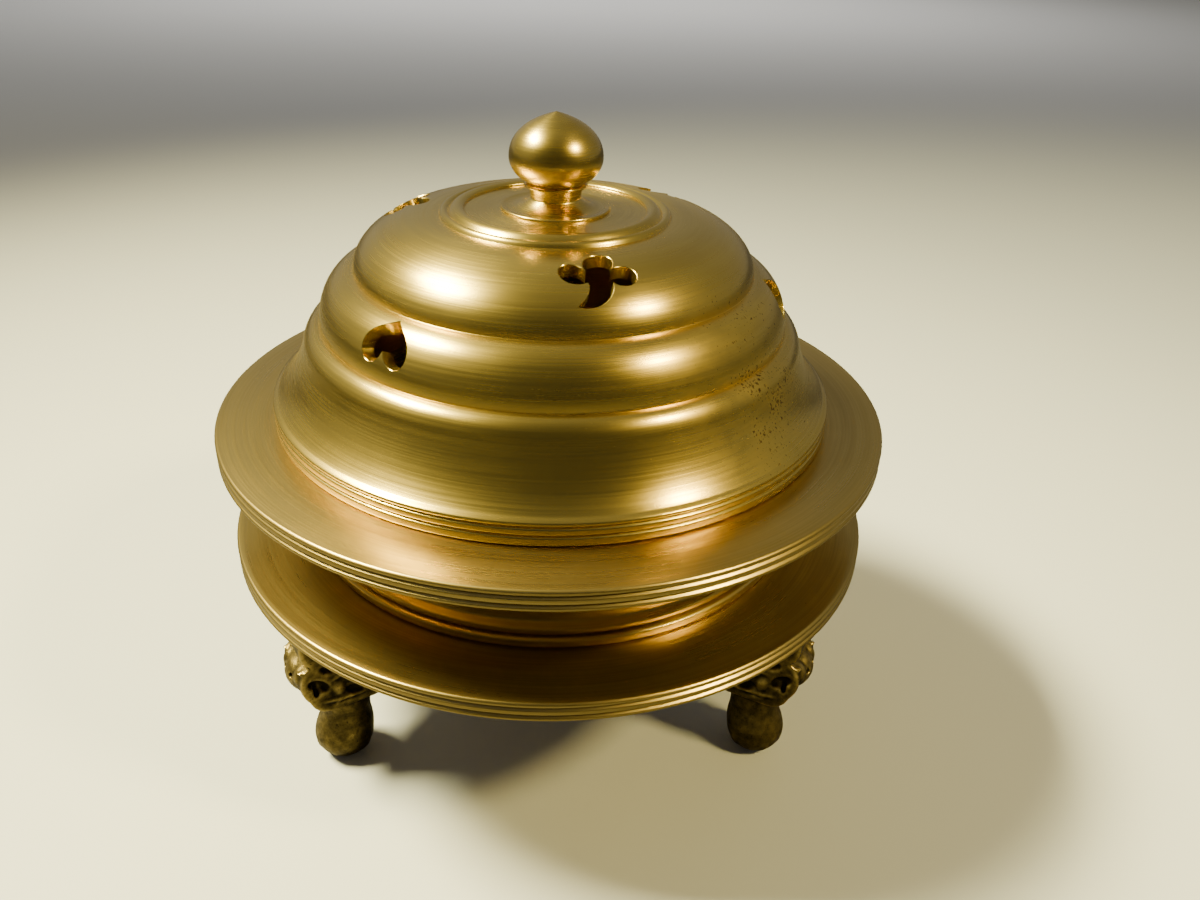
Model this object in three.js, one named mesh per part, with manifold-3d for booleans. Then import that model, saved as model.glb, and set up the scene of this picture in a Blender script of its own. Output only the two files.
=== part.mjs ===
// A lidded brass incense burner: a footed basin, a flanged ring that stands in it, and a tiered lid.
// Lengths are millimetres, +Z is up, and the origin is on the table under the middle of the basin.
import * as THREE from 'three';
import { mergeVertices } from 'three/addons/utils/BufferGeometryUtils.js';
import Module from 'manifold-3d';

// Facets and clearances
const ROUND_STEPS = 44;
const KNOB_STEPS = 24;
const SMALL_STEPS = 12;
const SWELLING_BANDS = 8;
const TIER_STEPS = 6;
const TIER_INSIDE_STEPS = 5;
const FIT_GAP = 0.3;
const LID_PLAY = 0.6;
const MERGE_DISTANCE = 1e-4;

// Turned beads and the grooves between them
const GROOVE_DEPTH = 0.5;
const BEAD_SHOULDER = 0.3;

// Basin
const BASIN_RADIUS = 59.5;
const BASIN_TOP = 45.2;
const BASIN_RIM_HEIGHT = 3.6;
const BASIN_WALL = 2.8;
const BASIN_LIP = 1.2;
const DISH_DROP = 1.2;
const SEAT_INNER_RADIUS = 39.4;
const SEAT_BEVEL = 0.5;
const SEAT_MARGIN = 1.4;
const BOWL_DEPTH = 24.5;
const BOWL_FLOOR_RADIUS = 28.0;
const BOWL_FLOOR_INSET = 1.0;
const BOWL_SWELL = 3.4;
const BOWL_INNER_SWELL = 1.8;
const BOWL_NECK_HEIGHT = 6.5;
const BOWL_NECK_FLARE = 1.0;
const BOWL_TAPER = 1.4;
const FLANGE_SLOPE = 1.0;

// Ring
const RING_RADIUS = 60.2;
const RING_HEIGHT = 22.4;
const RING_RIM_HEIGHT = 3.7;
const RING_FOOT_RADIUS = 46.0;
const RING_FOOT_BEADS = [1.9, 1.5];
const RING_FOOT_STEP = 0.9;
const RING_WALL = 2.6;
const RING_WAIST_INSET = 2.2;
const RING_WAIST_SWELL = 1.2;
const RING_FLARE = 3.0;
const RING_FLARE_HEIGHT = 1.6;
const RING_FLARE_SWELL = 0.6;
const MOUTH_RADIUS = 44.6;
const MOUTH_DEPTH = 4.5;

// Lid
const LID_FOOT_RADIUS = 50.0;
const LID_FOOT_BEADS = [1.8, 1.5, 1.1];
const LID_FOOT_HEIGHT = 4.6;
const LID_WALL = 1.7;
const SPIGOT_DEPTH = 3.0;
const SPIGOT_WALL = 2.0;
const LIP_RADIUS = 49.1;
const LIP_SLOPE = 42;
const LOW_WALL_RADIUS = 44.0;
const LOW_WALL_TOP = 12.6;
const LOW_CREASE_RADIUS = 40.9;
const LOW_CREASE_HEIGHT = 16.85;
const HIGH_CREASE_RADIUS = 34.6;
const HIGH_CREASE_HEIGHT = 25.6;
const CROWN_RADIUS = 20.3;
const CROWN_HEIGHT = 34.5;
const CROWN_GROOVE_RADIUS = 18.1;
const CROWN_BEAD = 0.6;
const DISC_RADIUS = 15.5;
const DISC_HEIGHT = 35.1;
const DISC_RISE = 0.2;

// Knob, with the washer and nut that hold its stud
const KNOB_HEIGHT = 15.8;
const KNOB_RADIUS = 7.9;
const KNOB_WIDEST_HEIGHT = 8.5;
const KNOB_POINT_PULL = 4.2;
const KNOB_POINT_DROP = 1.2;
const KNOB_BASE_RADIUS = 9.36;
const KNOB_BASE_THICKNESS = 0.5;
const KNOB_NECK_RADIUS = 4.2;
const KNOB_NECK_HEIGHT = 1.9;
const KNOB_NECK_FLARE = 0.35;
const KNOB_NECK_HOLLOW = 0.8;
const KNOB_COLLAR_RADIUS = 5.4;
const KNOB_COLLAR_HEIGHT = 4.2;
const KNOB_COLLAR_THICKNESS = 0.6;
const KNOB_BALL_FOOT = 4.9;
const STUD_RADIUS = 2.0;
const STUD_TAIL = 0.8;
const WASHER_RADIUS = 5.5;
const WASHER_THICKNESS = 0.8;
const NUT_RADIUS = 4.4;
const NUT_THICKNESS = 2.6;
const NUT_SIDES = 6;

// Vents: the azimuth of the first one, its height along the tier, and its size
const VENTS_PER_ROW = 3;
const VENT_CUT_DEPTH = 6.4;
const VENT_CURVE_STEPS = 4;
const CLOUD_AZIMUTH = -77.6;
const CLOUD_ALONG = 10.3;
const CLOUD_WIDTH = 11.8;
const HEART_AZIMUTH = -130.7;
const HEART_ALONG = 6.7;
const HEART_WIDTH = 9.4;

// Legs: how far each stands out from the seat, its foot and its neck
const LEG_AZIMUTHS = { leg_rear: 90, leg_front_left: 210, leg_front_right: 330 };
const LEG_STANDOFF = 7.4;
const FOOT_RADIUS = 5.7;
const FOOT_HEIGHT = 10.2;
const FOOT_WIDEST_HEIGHT = 5.2;
const FOOT_FLAT_RADIUS = 2.3;
const FOOT_SOLE_SWELL = 0.9;
const FOOT_SHOULDER_SWELL = 0.7;
const NECK_RADIUS = 4.6;
const NECK_SETBACK = 0.5;
const NECK_BOTTOM = 7.0;
const NECK_TOP = 15.6;

// The beast's head on the leg, seen from the side: how far its horn, notch, snout and chin stand out from
// the leg's axis and how high they are
const HEAD_TOP = 36.1;
const HEAD_BACK = 10.6;
const HEAD_CROWN_REACH = 1.5;
const HORN_REACH = 8.3;
const HORN_HEIGHT = 29.1;
const NOTCH_REACH = 6.9;
const NOTCH_HEIGHT = 25.5;
const SNOUT_REACH = 8.5;
const SNOUT_HEIGHT = 22.3;
const CHIN_REACH = 6.4;
const CHIN_HEIGHT = 16.8;
const THROAT_REACH = 2.8;
const THROAT_HEIGHT = 13.0;
const NAPE_HEIGHT = 18.1;
const HEAD_WIDTH = 10.4;
const HEAD_ROUNDING = 1.6;
const HEAD_CURVE_PULL = 1.0;
const HEAD_CURVE_STEPS = 4;

// Swellings and hollows on both sides of the head. Each is an egg: how far out from the leg's axis, how far
// to the side and how high its middle is, and its length (in and out), width (side to side) and height.
const BROW = { out: 3.6, side: 3.6, up: 28.3, length: 9.0, width: 5.2, height: 5.0 };
const CHEEK = { out: 0.8, side: 4.2, up: 20.7, length: 6.4, width: 5.0, height: 7.2 };
const JOWL = { out: 1.2, side: 2.6, up: 15.7, length: 9.6, width: 6.6, height: 5.0 };
const MANE_CURL = { out: -4.8, side: 4.0, up: 24.1, length: 7.2, width: 6.0, height: 9.6 };
const CROWN_CURL = { out: -1.8, side: 4.0, up: 32.1, length: 8.0, width: 5.6, height: 7.2 };
const EYE_SOCKET = { out: 4.2, side: 5.4, up: 24.4, length: 4.8, width: 3.4, height: 2.6 };
const MOUTH_CORNER = { out: 4.6, side: 5.4, up: 18.9, length: 2.6, width: 4.0, height: 5.4 };
const JAW_HOLLOW = { out: -2.6, side: 5.8, up: 18.1, length: 4.6, width: 3.6, height: 3.6 };

// Leg screws
const SCREW_HEIGHT = 32.1;
const SCREW_RADIUS = 1.5;
const SCREW_HEAD_RADIUS = 3.0;
const SCREW_HEAD_THICKNESS = 1.6;
const SCREW_HEAD_SWELL = 0.5;
const SCREW_HEAD_ROOM = 1.0;
const SCREW_REACH = 7.0;

// Heights and radii that follow from the sizes above
const SEAT_HEIGHT = BASIN_TOP - DISH_DROP;
const RING_TOP = SEAT_HEIGHT + RING_HEIGHT;
const CROWN_LEVEL = RING_TOP + CROWN_HEIGHT;
const DISC_LEVEL = RING_TOP + DISC_HEIGHT;
const KNOB_SEAT = DISC_LEVEL + DISC_RISE;
const CROWN_INSIDE = CROWN_LEVEL - LID_WALL;
const BOWL_FLOOR = BASIN_TOP - BOWL_DEPTH;
const BOWL_WALL_RADIUS = SEAT_INNER_RADIUS - SEAT_BEVEL;
const SPIGOT_RADIUS = MOUTH_RADIUS - LID_PLAY;
const STUD_HOLE_RADIUS = STUD_RADIUS + FIT_GAP;
const SCREW_HOLE_RADIUS = SCREW_RADIUS + FIT_GAP;
const LEG_RADIUS = SEAT_INNER_RADIUS + LEG_STANDOFF;

const BRASS = { color: 0xb98f3e, roughness: 0.34, metalness: 1.0 };
const LEG_BRASS = { color: 0x94702e, roughness: 0.5, metalness: 1.0 };
const DULL_BRASS = { color: 0x8c7a4a, roughness: 0.45, metalness: 1.0 };

const wasm = await Module();
wasm.setup();

// Adds an arc from the last point to (radius, height) that stands out by swell at its middle.
function arcTo(points, radius, height, swell, steps) {
  const start = points[points.length - 1];
  const end = new THREE.Vector2(radius, height);
  const along = end.clone().sub(start);
  const outward = new THREE.Vector2(along.y, -along.x).normalize();
  for (let i = 1; i <= steps; i += 1) {
    const t = i / steps;
    const lift = 4 * swell * t * (1 - t);
    points.push(start.clone().addScaledVector(along, t).addScaledVector(outward, lift));
  }
}

function lineTo(points, pairs) {
  for (const [radius, height] of pairs) {
    points.push(new THREE.Vector2(radius, height));
  }
}

// Adds flat-fronted beads from a height upward, each with a sharp groove below and above it.
function addBeads(points, radius, bottom, heights) {
  let level = bottom;
  lineTo(points, [[radius - GROOVE_DEPTH, level]]);
  for (const height of heights) {
    lineTo(points, [
      [radius, level + BEAD_SHOULDER],
      [radius, level + height - BEAD_SHOULDER],
      [radius - GROOVE_DEPTH, level + height],
    ]);
    level += height;
  }
}

// Turns a closed outline of (radius, height) points into a solid of revolution about Z.
function turned(points, steps) {
  const closed = points.concat([points[0].clone()]);
  const geometry = new THREE.LatheGeometry(closed, steps);
  geometry.rotateX(Math.PI / 2);
  return geometry;
}

function toSolid(geometry) {
  const plain = new THREE.BufferGeometry();
  plain.setAttribute('position', geometry.getAttribute('position').clone());
  if (geometry.index) {
    plain.setIndex(geometry.index.clone());
  }
  const merged = mergeVertices(plain, MERGE_DISTANCE);
  const triangles = [];
  for (let i = 0; i < merged.index.count; i += 3) {
    const corners = [0, 1, 2].map((k) => merged.index.getX(i + k));
    if (new Set(corners).size === 3) {
      triangles.push(...corners);
    }
  }
  return new wasm.Manifold(new wasm.Mesh({
    numProp: 3,
    vertProperties: new Float32Array(merged.getAttribute('position').array),
    triVerts: new Uint32Array(triangles),
  }));
}

function toGeometry(solid) {
  const mesh = solid.getMesh();
  const geometry = new THREE.BufferGeometry();
  geometry.setAttribute('position', new THREE.BufferAttribute(mesh.vertProperties, 3));
  geometry.setIndex(new THREE.BufferAttribute(mesh.triVerts, 1));
  geometry.computeVertexNormals();
  return geometry;
}

function finished(name, geometry, look) {
  const mesh = new THREE.Mesh(geometry, new THREE.MeshStandardMaterial(look));
  mesh.name = name;
  return mesh;
}

// The edge of a flange, bottom to top: a lip, a groove, a broad band, a groove and a lip.
function flangeEdge(radius, bottom, height) {
  const lip = height * 0.2;
  const groove = height * 0.1;
  const top = bottom + height;
  return [
    [radius - GROOVE_DEPTH, bottom],
    [radius, bottom + BEAD_SHOULDER],
    [radius, bottom + lip],
    [radius - GROOVE_DEPTH, bottom + lip + groove],
    [radius, bottom + lip + 2 * groove],
    [radius, top - lip - 2 * groove],
    [radius - GROOVE_DEPTH, top - lip - groove],
    [radius, top - lip],
    [radius, top - BEAD_SHOULDER],
    [radius - BEAD_SHOULDER, top],
  ];
}

// The basin's underside, from the middle of the floor out to the flange.
function bowlOutline() {
  const floor = BOWL_FLOOR - BASIN_WALL;
  const neck = BASIN_TOP - BASIN_RIM_HEIGHT - FLANGE_SLOPE;
  const neckRadius = SEAT_INNER_RADIUS + BASIN_WALL + BOWL_TAPER;
  const outline = [new THREE.Vector2(0, floor)];
  lineTo(outline, [[BOWL_FLOOR_RADIUS, floor]]);
  arcTo(outline, neckRadius, neck - BOWL_NECK_HEIGHT, BOWL_SWELL, 6);
  arcTo(outline, neckRadius + BOWL_NECK_FLARE, neck, BOWL_NECK_FLARE * 0.4, 2);
  return outline;
}

function basinGeometry() {
  const points = bowlOutline();
  const screwRoom = SCREW_HEIGHT - SCREW_HEAD_RADIUS - SCREW_HEAD_ROOM;
  lineTo(points, flangeEdge(BASIN_RADIUS, BASIN_TOP - BASIN_RIM_HEIGHT, BASIN_RIM_HEIGHT));
  lineTo(points, [
    [BASIN_RADIUS - BASIN_LIP, BASIN_TOP],
    [RING_FOOT_RADIUS + SEAT_MARGIN, SEAT_HEIGHT],
    [SEAT_INNER_RADIUS, SEAT_HEIGHT],
    [BOWL_WALL_RADIUS, SEAT_HEIGHT - SEAT_BEVEL],
    [BOWL_WALL_RADIUS, screwRoom],
  ]);
  arcTo(points, BOWL_FLOOR_RADIUS - BOWL_FLOOR_INSET, BOWL_FLOOR, -BOWL_INNER_SWELL, 6);
  lineTo(points, [[0, BOWL_FLOOR]]);
  return toGeometry(toSolid(turned(points, ROUND_STEPS)).subtract(screwHoles()));
}

// A round cutter along the screw of a leg that stands on the +X side.
function screwHole() {
  const cutter = new THREE.CylinderGeometry(
    SCREW_HOLE_RADIUS, SCREW_HOLE_RADIUS, 2 * SCREW_REACH, SMALL_STEPS);
  cutter.rotateZ(Math.PI / 2);
  cutter.translate(SEAT_INNER_RADIUS + FIT_GAP, 0, SCREW_HEIGHT);
  return cutter;
}

function screwHoles() {
  const cutters = Object.values(LEG_AZIMUTHS).map((azimuth) => (
    toSolid(screwHole().rotateZ(THREE.MathUtils.degToRad(azimuth)))
  ));
  return wasm.Manifold.union(cutters);
}

function ringGeometry() {
  const rimBottom = RING_TOP - RING_RIM_HEIGHT;
  const waist = RING_FOOT_RADIUS - RING_WAIST_INSET;
  const innerFoot = waist - RING_WALL;
  const [lowBead, highBead] = RING_FOOT_BEADS;
  const beadTop = SEAT_HEIGHT + lowBead + highBead;
  const points = [new THREE.Vector2(innerFoot, SEAT_HEIGHT)];
  addBeads(points, RING_FOOT_RADIUS, SEAT_HEIGHT, [lowBead]);
  addBeads(points, RING_FOOT_RADIUS - RING_FOOT_STEP, SEAT_HEIGHT + lowBead, [highBead]);
  lineTo(points, [[waist, beadTop + GROOVE_DEPTH]]);
  arcTo(points, MOUTH_RADIUS + RING_WALL, rimBottom - RING_FLARE_HEIGHT, -RING_WAIST_SWELL, 4);
  arcTo(points, MOUTH_RADIUS + RING_WALL + RING_FLARE, rimBottom, -RING_FLARE_SWELL, 2);
  lineTo(points, flangeEdge(RING_RADIUS, rimBottom, RING_RIM_HEIGHT));
  lineTo(points, [[MOUTH_RADIUS, RING_TOP], [MOUTH_RADIUS, RING_TOP - MOUTH_DEPTH]]);
  arcTo(points, innerFoot, beadTop, RING_WAIST_SWELL, 4);
  return turned(points, ROUND_STEPS);
}

// A tier's outline: a quarter ellipse, upright at its foot and level at its top.
function quarterRound(footRadius, footHeight, topRadius, topHeight) {
  return new THREE.EllipseCurve(
    topRadius, footHeight, footRadius - topRadius, topHeight - footHeight, 0, Math.PI / 2);
}

// The low tier: it sweeps up from a flared lip to an upright wall, and rounds over to the crease.
function lowTier() {
  const lip = RING_TOP + LID_FOOT_HEIGHT;
  const sweep = (LIP_RADIUS - LOW_WALL_RADIUS) * Math.tan(THREE.MathUtils.degToRad(LIP_SLOPE));
  const flare = new THREE.QuadraticBezierCurve(
    new THREE.Vector2(LIP_RADIUS, lip),
    new THREE.Vector2(LOW_WALL_RADIUS, lip + sweep),
    new THREE.Vector2(LOW_WALL_RADIUS, RING_TOP + LOW_WALL_TOP));
  const shoulder = quarterRound(
    LOW_WALL_RADIUS, RING_TOP + LOW_WALL_TOP, LOW_CREASE_RADIUS, RING_TOP + LOW_CREASE_HEIGHT);
  return [...flare.getPoints(TIER_STEPS), ...shoulder.getPoints(TIER_STEPS).slice(1)];
}

function middleTier() {
  return quarterRound(
    LOW_CREASE_RADIUS, RING_TOP + LOW_CREASE_HEIGHT, HIGH_CREASE_RADIUS, RING_TOP + HIGH_CREASE_HEIGHT);
}

function topTier() {
  return quarterRound(HIGH_CREASE_RADIUS, RING_TOP + HIGH_CREASE_HEIGHT, CROWN_RADIUS, CROWN_LEVEL);
}

// The two raised rings round the crown, the sunk disc inside them, and the seat of the knob.
function lidCrown() {
  const points = [new THREE.Vector2(CROWN_RADIUS - GROOVE_DEPTH, CROWN_LEVEL)];
  arcTo(points, CROWN_GROOVE_RADIUS, CROWN_LEVEL + GROOVE_DEPTH, CROWN_BEAD, 3);
  arcTo(points, DISC_RADIUS, CROWN_LEVEL + 2 * GROOVE_DEPTH, CROWN_BEAD, 3);
  lineTo(points, [
    [DISC_RADIUS, DISC_LEVEL],
    [KNOB_BASE_RADIUS + FIT_GAP, KNOB_SEAT],
    [STUD_HOLE_RADIUS, KNOB_SEAT],
  ]);
  return points;
}

// The lid's inside, from the stud hole out and down to the spigot that drops into the ring's mouth.
function lidInside() {
  const spigotInside = SPIGOT_RADIUS - SPIGOT_WALL;
  const shoulderInside = quarterRound(
    LOW_WALL_RADIUS - LID_WALL, RING_TOP + LOW_WALL_TOP - LID_WALL,
    LOW_CREASE_RADIUS - LID_WALL, RING_TOP + LOW_CREASE_HEIGHT - LID_WALL);
  const points = [new THREE.Vector2(STUD_HOLE_RADIUS, CROWN_INSIDE)];
  for (const tier of [topTier(), middleTier()]) {
    const wall = new THREE.Vector2(-LID_WALL, -LID_WALL);
    points.push(...tier.getPoints(TIER_INSIDE_STEPS).reverse().map((point) => point.add(wall)));
    points.pop();
  }
  points.push(...shoulderInside.getPoints(TIER_INSIDE_STEPS).reverse());
  lineTo(points, [
    [spigotInside, RING_TOP + LID_FOOT_HEIGHT],
    [spigotInside, RING_TOP - SPIGOT_DEPTH],
    [SPIGOT_RADIUS, RING_TOP - SPIGOT_DEPTH],
    [SPIGOT_RADIUS, RING_TOP],
  ]);
  return points;
}

// A heart with its point up, one unit wide.
function heartShape() {
  const shape = new THREE.Shape();
  shape.moveTo(0, 0.415);
  shape.bezierCurveTo(-0.1, 0.28, -0.5, 0.14, -0.5, -0.16);
  shape.bezierCurveTo(-0.5, -0.46, -0.13, -0.52, 0, -0.17);
  shape.bezierCurveTo(0.13, -0.52, 0.5, -0.46, 0.5, -0.16);
  shape.bezierCurveTo(0.5, 0.14, 0.1, 0.28, 0, 0.415);
  return shape;
}

// A cloud of three lobes over a tail that curls to the left, one unit wide and leaning to the right.
function cloudShape() {
  const shape = new THREE.Shape();
  shape.moveTo(-0.34, -0.45);
  shape.bezierCurveTo(-0.12, -0.54, 0.17, -0.38, 0.17, -0.12);
  shape.bezierCurveTo(0.28, -0.24, 0.52, -0.22, 0.51, -0.04);
  shape.bezierCurveTo(0.5, 0.13, 0.33, 0.2, 0.2, 0.12);
  shape.bezierCurveTo(0.34, 0.36, 0.2, 0.47, 0.09, 0.47);
  shape.bezierCurveTo(-0.06, 0.47, -0.19, 0.32, -0.14, 0.1);
  shape.bezierCurveTo(-0.2, 0.35, -0.49, 0.3, -0.49, 0.08);
  shape.bezierCurveTo(-0.49, -0.1, -0.3, -0.16, -0.15, -0.09);
  shape.bezierCurveTo(-0.12, -0.2, -0.2, -0.34, -0.34, -0.45);
  return shape;
}

// Wraps an upright cutter round a tier: x goes round, y climbs the tier from its foot, z stands out.
function wrapOnTier(cutter, tier, along, azimuth) {
  const spots = cutter.getAttribute('position');
  const length = tier.getLength();
  for (let i = 0; i < spots.count; i += 1) {
    const share = (along + spots.getY(i)) / length;
    const foot = tier.getPointAt(share);
    const climb = tier.getTangentAt(share);
    const radius = foot.x + climb.y * spots.getZ(i);
    const height = foot.y - climb.x * spots.getZ(i);
    const turn = THREE.MathUtils.degToRad(azimuth) + spots.getX(i) / foot.x;
    spots.setXYZ(i, radius * Math.cos(turn), radius * Math.sin(turn), height);
  }
  return cutter;
}

// A row of cutters spread evenly round a tier.
function ventCutters(shape, width, tier, along, azimuth) {
  const cutters = [];
  for (let i = 0; i < VENTS_PER_ROW; i += 1) {
    const cutter = new THREE.ExtrudeGeometry(shape, {
      depth: VENT_CUT_DEPTH / width, bevelEnabled: false, curveSegments: VENT_CURVE_STEPS,
    });
    cutter.scale(width, width, width);
    cutter.translate(0, 0, -VENT_CUT_DEPTH / 2);
    cutters.push(toSolid(wrapOnTier(cutter, tier, along, azimuth + (360 / VENTS_PER_ROW) * i)));
  }
  return wasm.Manifold.union(cutters);
}

function lidGeometry() {
  const points = [];
  addBeads(points, LID_FOOT_RADIUS, RING_TOP, LID_FOOT_BEADS);
  points.push(...lowTier());
  points.push(...middleTier().getPoints(TIER_STEPS).slice(1));
  points.push(...topTier().getPoints(TIER_STEPS).slice(1));
  points.push(...lidCrown(), ...lidInside());
  const clouds = ventCutters(cloudShape(), CLOUD_WIDTH, topTier(), CLOUD_ALONG, CLOUD_AZIMUTH);
  const hearts = ventCutters(heartShape(), HEART_WIDTH, middleTier(), HEART_ALONG, HEART_AZIMUTH);
  return toGeometry(toSolid(turned(points, ROUND_STEPS)).subtract(clouds).subtract(hearts));
}

// The jewel-shaped top of the knob: a round belly that draws up to a point.
function jewelOutline() {
  const foot = KNOB_SEAT + KNOB_COLLAR_HEIGHT + GROOVE_DEPTH;
  const widest = KNOB_SEAT + KNOB_WIDEST_HEIGHT;
  const tip = KNOB_SEAT + KNOB_HEIGHT;
  const belly = new THREE.CubicBezierCurve(
    new THREE.Vector2(KNOB_BALL_FOOT, foot),
    new THREE.Vector2(KNOB_BALL_FOOT + (widest - foot) * 0.3, foot),
    new THREE.Vector2(KNOB_RADIUS, foot + (widest - foot) * 0.5),
    new THREE.Vector2(KNOB_RADIUS, widest));
  const crown = new THREE.CubicBezierCurve(
    new THREE.Vector2(KNOB_RADIUS, widest),
    new THREE.Vector2(KNOB_RADIUS, widest + (tip - widest) * 0.56),
    new THREE.Vector2(KNOB_POINT_PULL, tip - KNOB_POINT_DROP),
    new THREE.Vector2(0, tip));
  return belly.getPoints(6).concat(crown.getPoints(9).slice(1));
}

function knobGeometry() {
  const nutBottom = CROWN_INSIDE - FIT_GAP - WASHER_THICKNESS - NUT_THICKNESS;
  const baseTop = KNOB_SEAT + KNOB_BASE_THICKNESS;
  const collar = KNOB_SEAT + KNOB_COLLAR_HEIGHT;
  const points = [new THREE.Vector2(0, nutBottom - STUD_TAIL)];
  lineTo(points, [
    [STUD_RADIUS, nutBottom - STUD_TAIL],
    [STUD_RADIUS, KNOB_SEAT],
    [KNOB_BASE_RADIUS, KNOB_SEAT],
    [KNOB_BASE_RADIUS, baseTop - BEAD_SHOULDER],
    [KNOB_BASE_RADIUS - BEAD_SHOULDER, baseTop],
  ]);
  arcTo(points, KNOB_NECK_RADIUS, KNOB_SEAT + KNOB_NECK_HEIGHT, -KNOB_NECK_HOLLOW, 4);
  lineTo(points, [
    [KNOB_NECK_RADIUS + KNOB_NECK_FLARE, collar - KNOB_COLLAR_THICKNESS],
    [KNOB_COLLAR_RADIUS, collar - KNOB_COLLAR_THICKNESS / 2],
    [KNOB_COLLAR_RADIUS, collar],
    [KNOB_BALL_FOOT, collar + GROOVE_DEPTH / 2],
  ]);
  points.push(...jewelOutline());
  return new THREE.LatheGeometry(points, KNOB_STEPS).rotateX(Math.PI / 2);
}

// A flat plate with a round hole for the stud.
function holedPlate(shape, thickness) {
  shape.holes.push(new THREE.Path().absarc(0, 0, STUD_HOLE_RADIUS, 0, 2 * Math.PI, true));
  return new THREE.ExtrudeGeometry(shape, {
    depth: thickness, bevelEnabled: false, curveSegments: SMALL_STEPS,
  });
}

function washerGeometry() {
  return holedPlate(new THREE.Shape().absarc(0, 0, WASHER_RADIUS, 0, 2 * Math.PI), WASHER_THICKNESS);
}

function nutGeometry() {
  const corners = [];
  for (let i = 0; i < NUT_SIDES; i += 1) {
    const turn = (2 * Math.PI * i) / NUT_SIDES;
    corners.push(new THREE.Vector2(NUT_RADIUS * Math.cos(turn), NUT_RADIUS * Math.sin(turn)));
  }
  return holedPlate(new THREE.Shape(corners), NUT_THICKNESS);
}

// One egg-shaped swelling or hollow, on the left (side 1) or right (side -1) of a leg on the +X side.
function egg(form, side) {
  const ball = new THREE.SphereGeometry(0.5, SMALL_STEPS, SWELLING_BANDS);
  ball.scale(form.length, form.height, form.width);
  ball.rotateX(Math.PI / 2);
  ball.translate(LEG_RADIUS + form.out, side * form.side, form.up);
  return toSolid(ball);
}

function eggs(forms) {
  return forms.flatMap((form) => (form.side ? [egg(form, 1), egg(form, -1)] : [egg(form, 1)]));
}

// The head's block: its side outline, as wide as the head and rounded at both faces.
function headSolid() {
  const outline = new THREE.Shape();
  outline.moveTo(-HEAD_BACK, NAPE_HEIGHT);
  outline.quadraticCurveTo(-HEAD_BACK, THROAT_HEIGHT, -THROAT_REACH - NECK_SETBACK, THROAT_HEIGHT);
  outline.lineTo(THROAT_REACH, THROAT_HEIGHT);
  outline.quadraticCurveTo(CHIN_REACH - HEAD_CURVE_PULL, THROAT_HEIGHT, CHIN_REACH, CHIN_HEIGHT);
  outline.quadraticCurveTo(SNOUT_REACH, (CHIN_HEIGHT + SNOUT_HEIGHT) / 2, SNOUT_REACH, SNOUT_HEIGHT);
  outline.quadraticCurveTo(SNOUT_REACH, NOTCH_HEIGHT - HEAD_CURVE_PULL, NOTCH_REACH, NOTCH_HEIGHT);
  outline.quadraticCurveTo(HORN_REACH, NOTCH_HEIGHT + HEAD_CURVE_PULL, HORN_REACH, HORN_HEIGHT);
  outline.quadraticCurveTo(HORN_REACH, HEAD_TOP, HEAD_CROWN_REACH, HEAD_TOP);
  outline.lineTo(-HEAD_BACK, HEAD_TOP);
  const block = new THREE.ExtrudeGeometry(outline, {
    depth: HEAD_WIDTH - 2 * HEAD_ROUNDING,
    bevelThickness: HEAD_ROUNDING,
    bevelSize: HEAD_ROUNDING,
    bevelOffset: -HEAD_ROUNDING,
    bevelSegments: 2,
    curveSegments: HEAD_CURVE_STEPS,
  });
  block.rotateX(Math.PI / 2);
  block.translate(LEG_RADIUS, HEAD_WIDTH / 2 - HEAD_ROUNDING, 0);
  return toSolid(block);
}

// The foot's ball and the neck above it.
function footSolids() {
  const ball = [new THREE.Vector2(0, 0), new THREE.Vector2(FOOT_FLAT_RADIUS, 0)];
  arcTo(ball, FOOT_RADIUS, FOOT_WIDEST_HEIGHT, FOOT_SOLE_SWELL, 3);
  arcTo(ball, NECK_RADIUS - NECK_SETBACK, FOOT_HEIGHT, FOOT_SHOULDER_SWELL, 3);
  lineTo(ball, [[0, FOOT_HEIGHT]]);
  const foot = new THREE.LatheGeometry(ball, SMALL_STEPS).rotateX(Math.PI / 2);
  foot.translate(LEG_RADIUS, 0, 0);
  const neck = new THREE.CylinderGeometry(NECK_RADIUS, NECK_RADIUS, NECK_TOP - NECK_BOTTOM, SMALL_STEPS);
  neck.rotateX(Math.PI / 2);
  neck.translate(LEG_RADIUS - NECK_SETBACK, 0, (NECK_TOP + NECK_BOTTOM) / 2);
  return [toSolid(foot), toSolid(neck)];
}

// The space that the basin takes, with the fitting gap round it.
function basinRoom() {
  const outline = bowlOutline().map((point) => (
    new THREE.Vector2(point.x ? point.x + FIT_GAP : 0, point.y - FIT_GAP)
  ));
  const edge = BASIN_TOP - BASIN_RIM_HEIGHT - FIT_GAP;
  lineTo(outline, [[BASIN_RADIUS, edge], [BASIN_RADIUS, BASIN_TOP], [0, BASIN_TOP]]);
  return toSolid(new THREE.LatheGeometry(outline, ROUND_STEPS).rotateX(Math.PI / 2));
}

function legGeometry(azimuth) {
  const swellings = eggs([BROW, CHEEK, JOWL, MANE_CURL, CROWN_CURL]);
  const hollows = eggs([EYE_SOCKET, MOUTH_CORNER, JAW_HOLLOW]);
  const room = basinRoom().rotate([0, 0, -azimuth]);
  const leg = wasm.Manifold.union(swellings.concat(footSolids(), headSolid()))
    .subtract(wasm.Manifold.union(hollows.concat([room, toSolid(screwHole())])));
  return toGeometry(leg);
}

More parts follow.
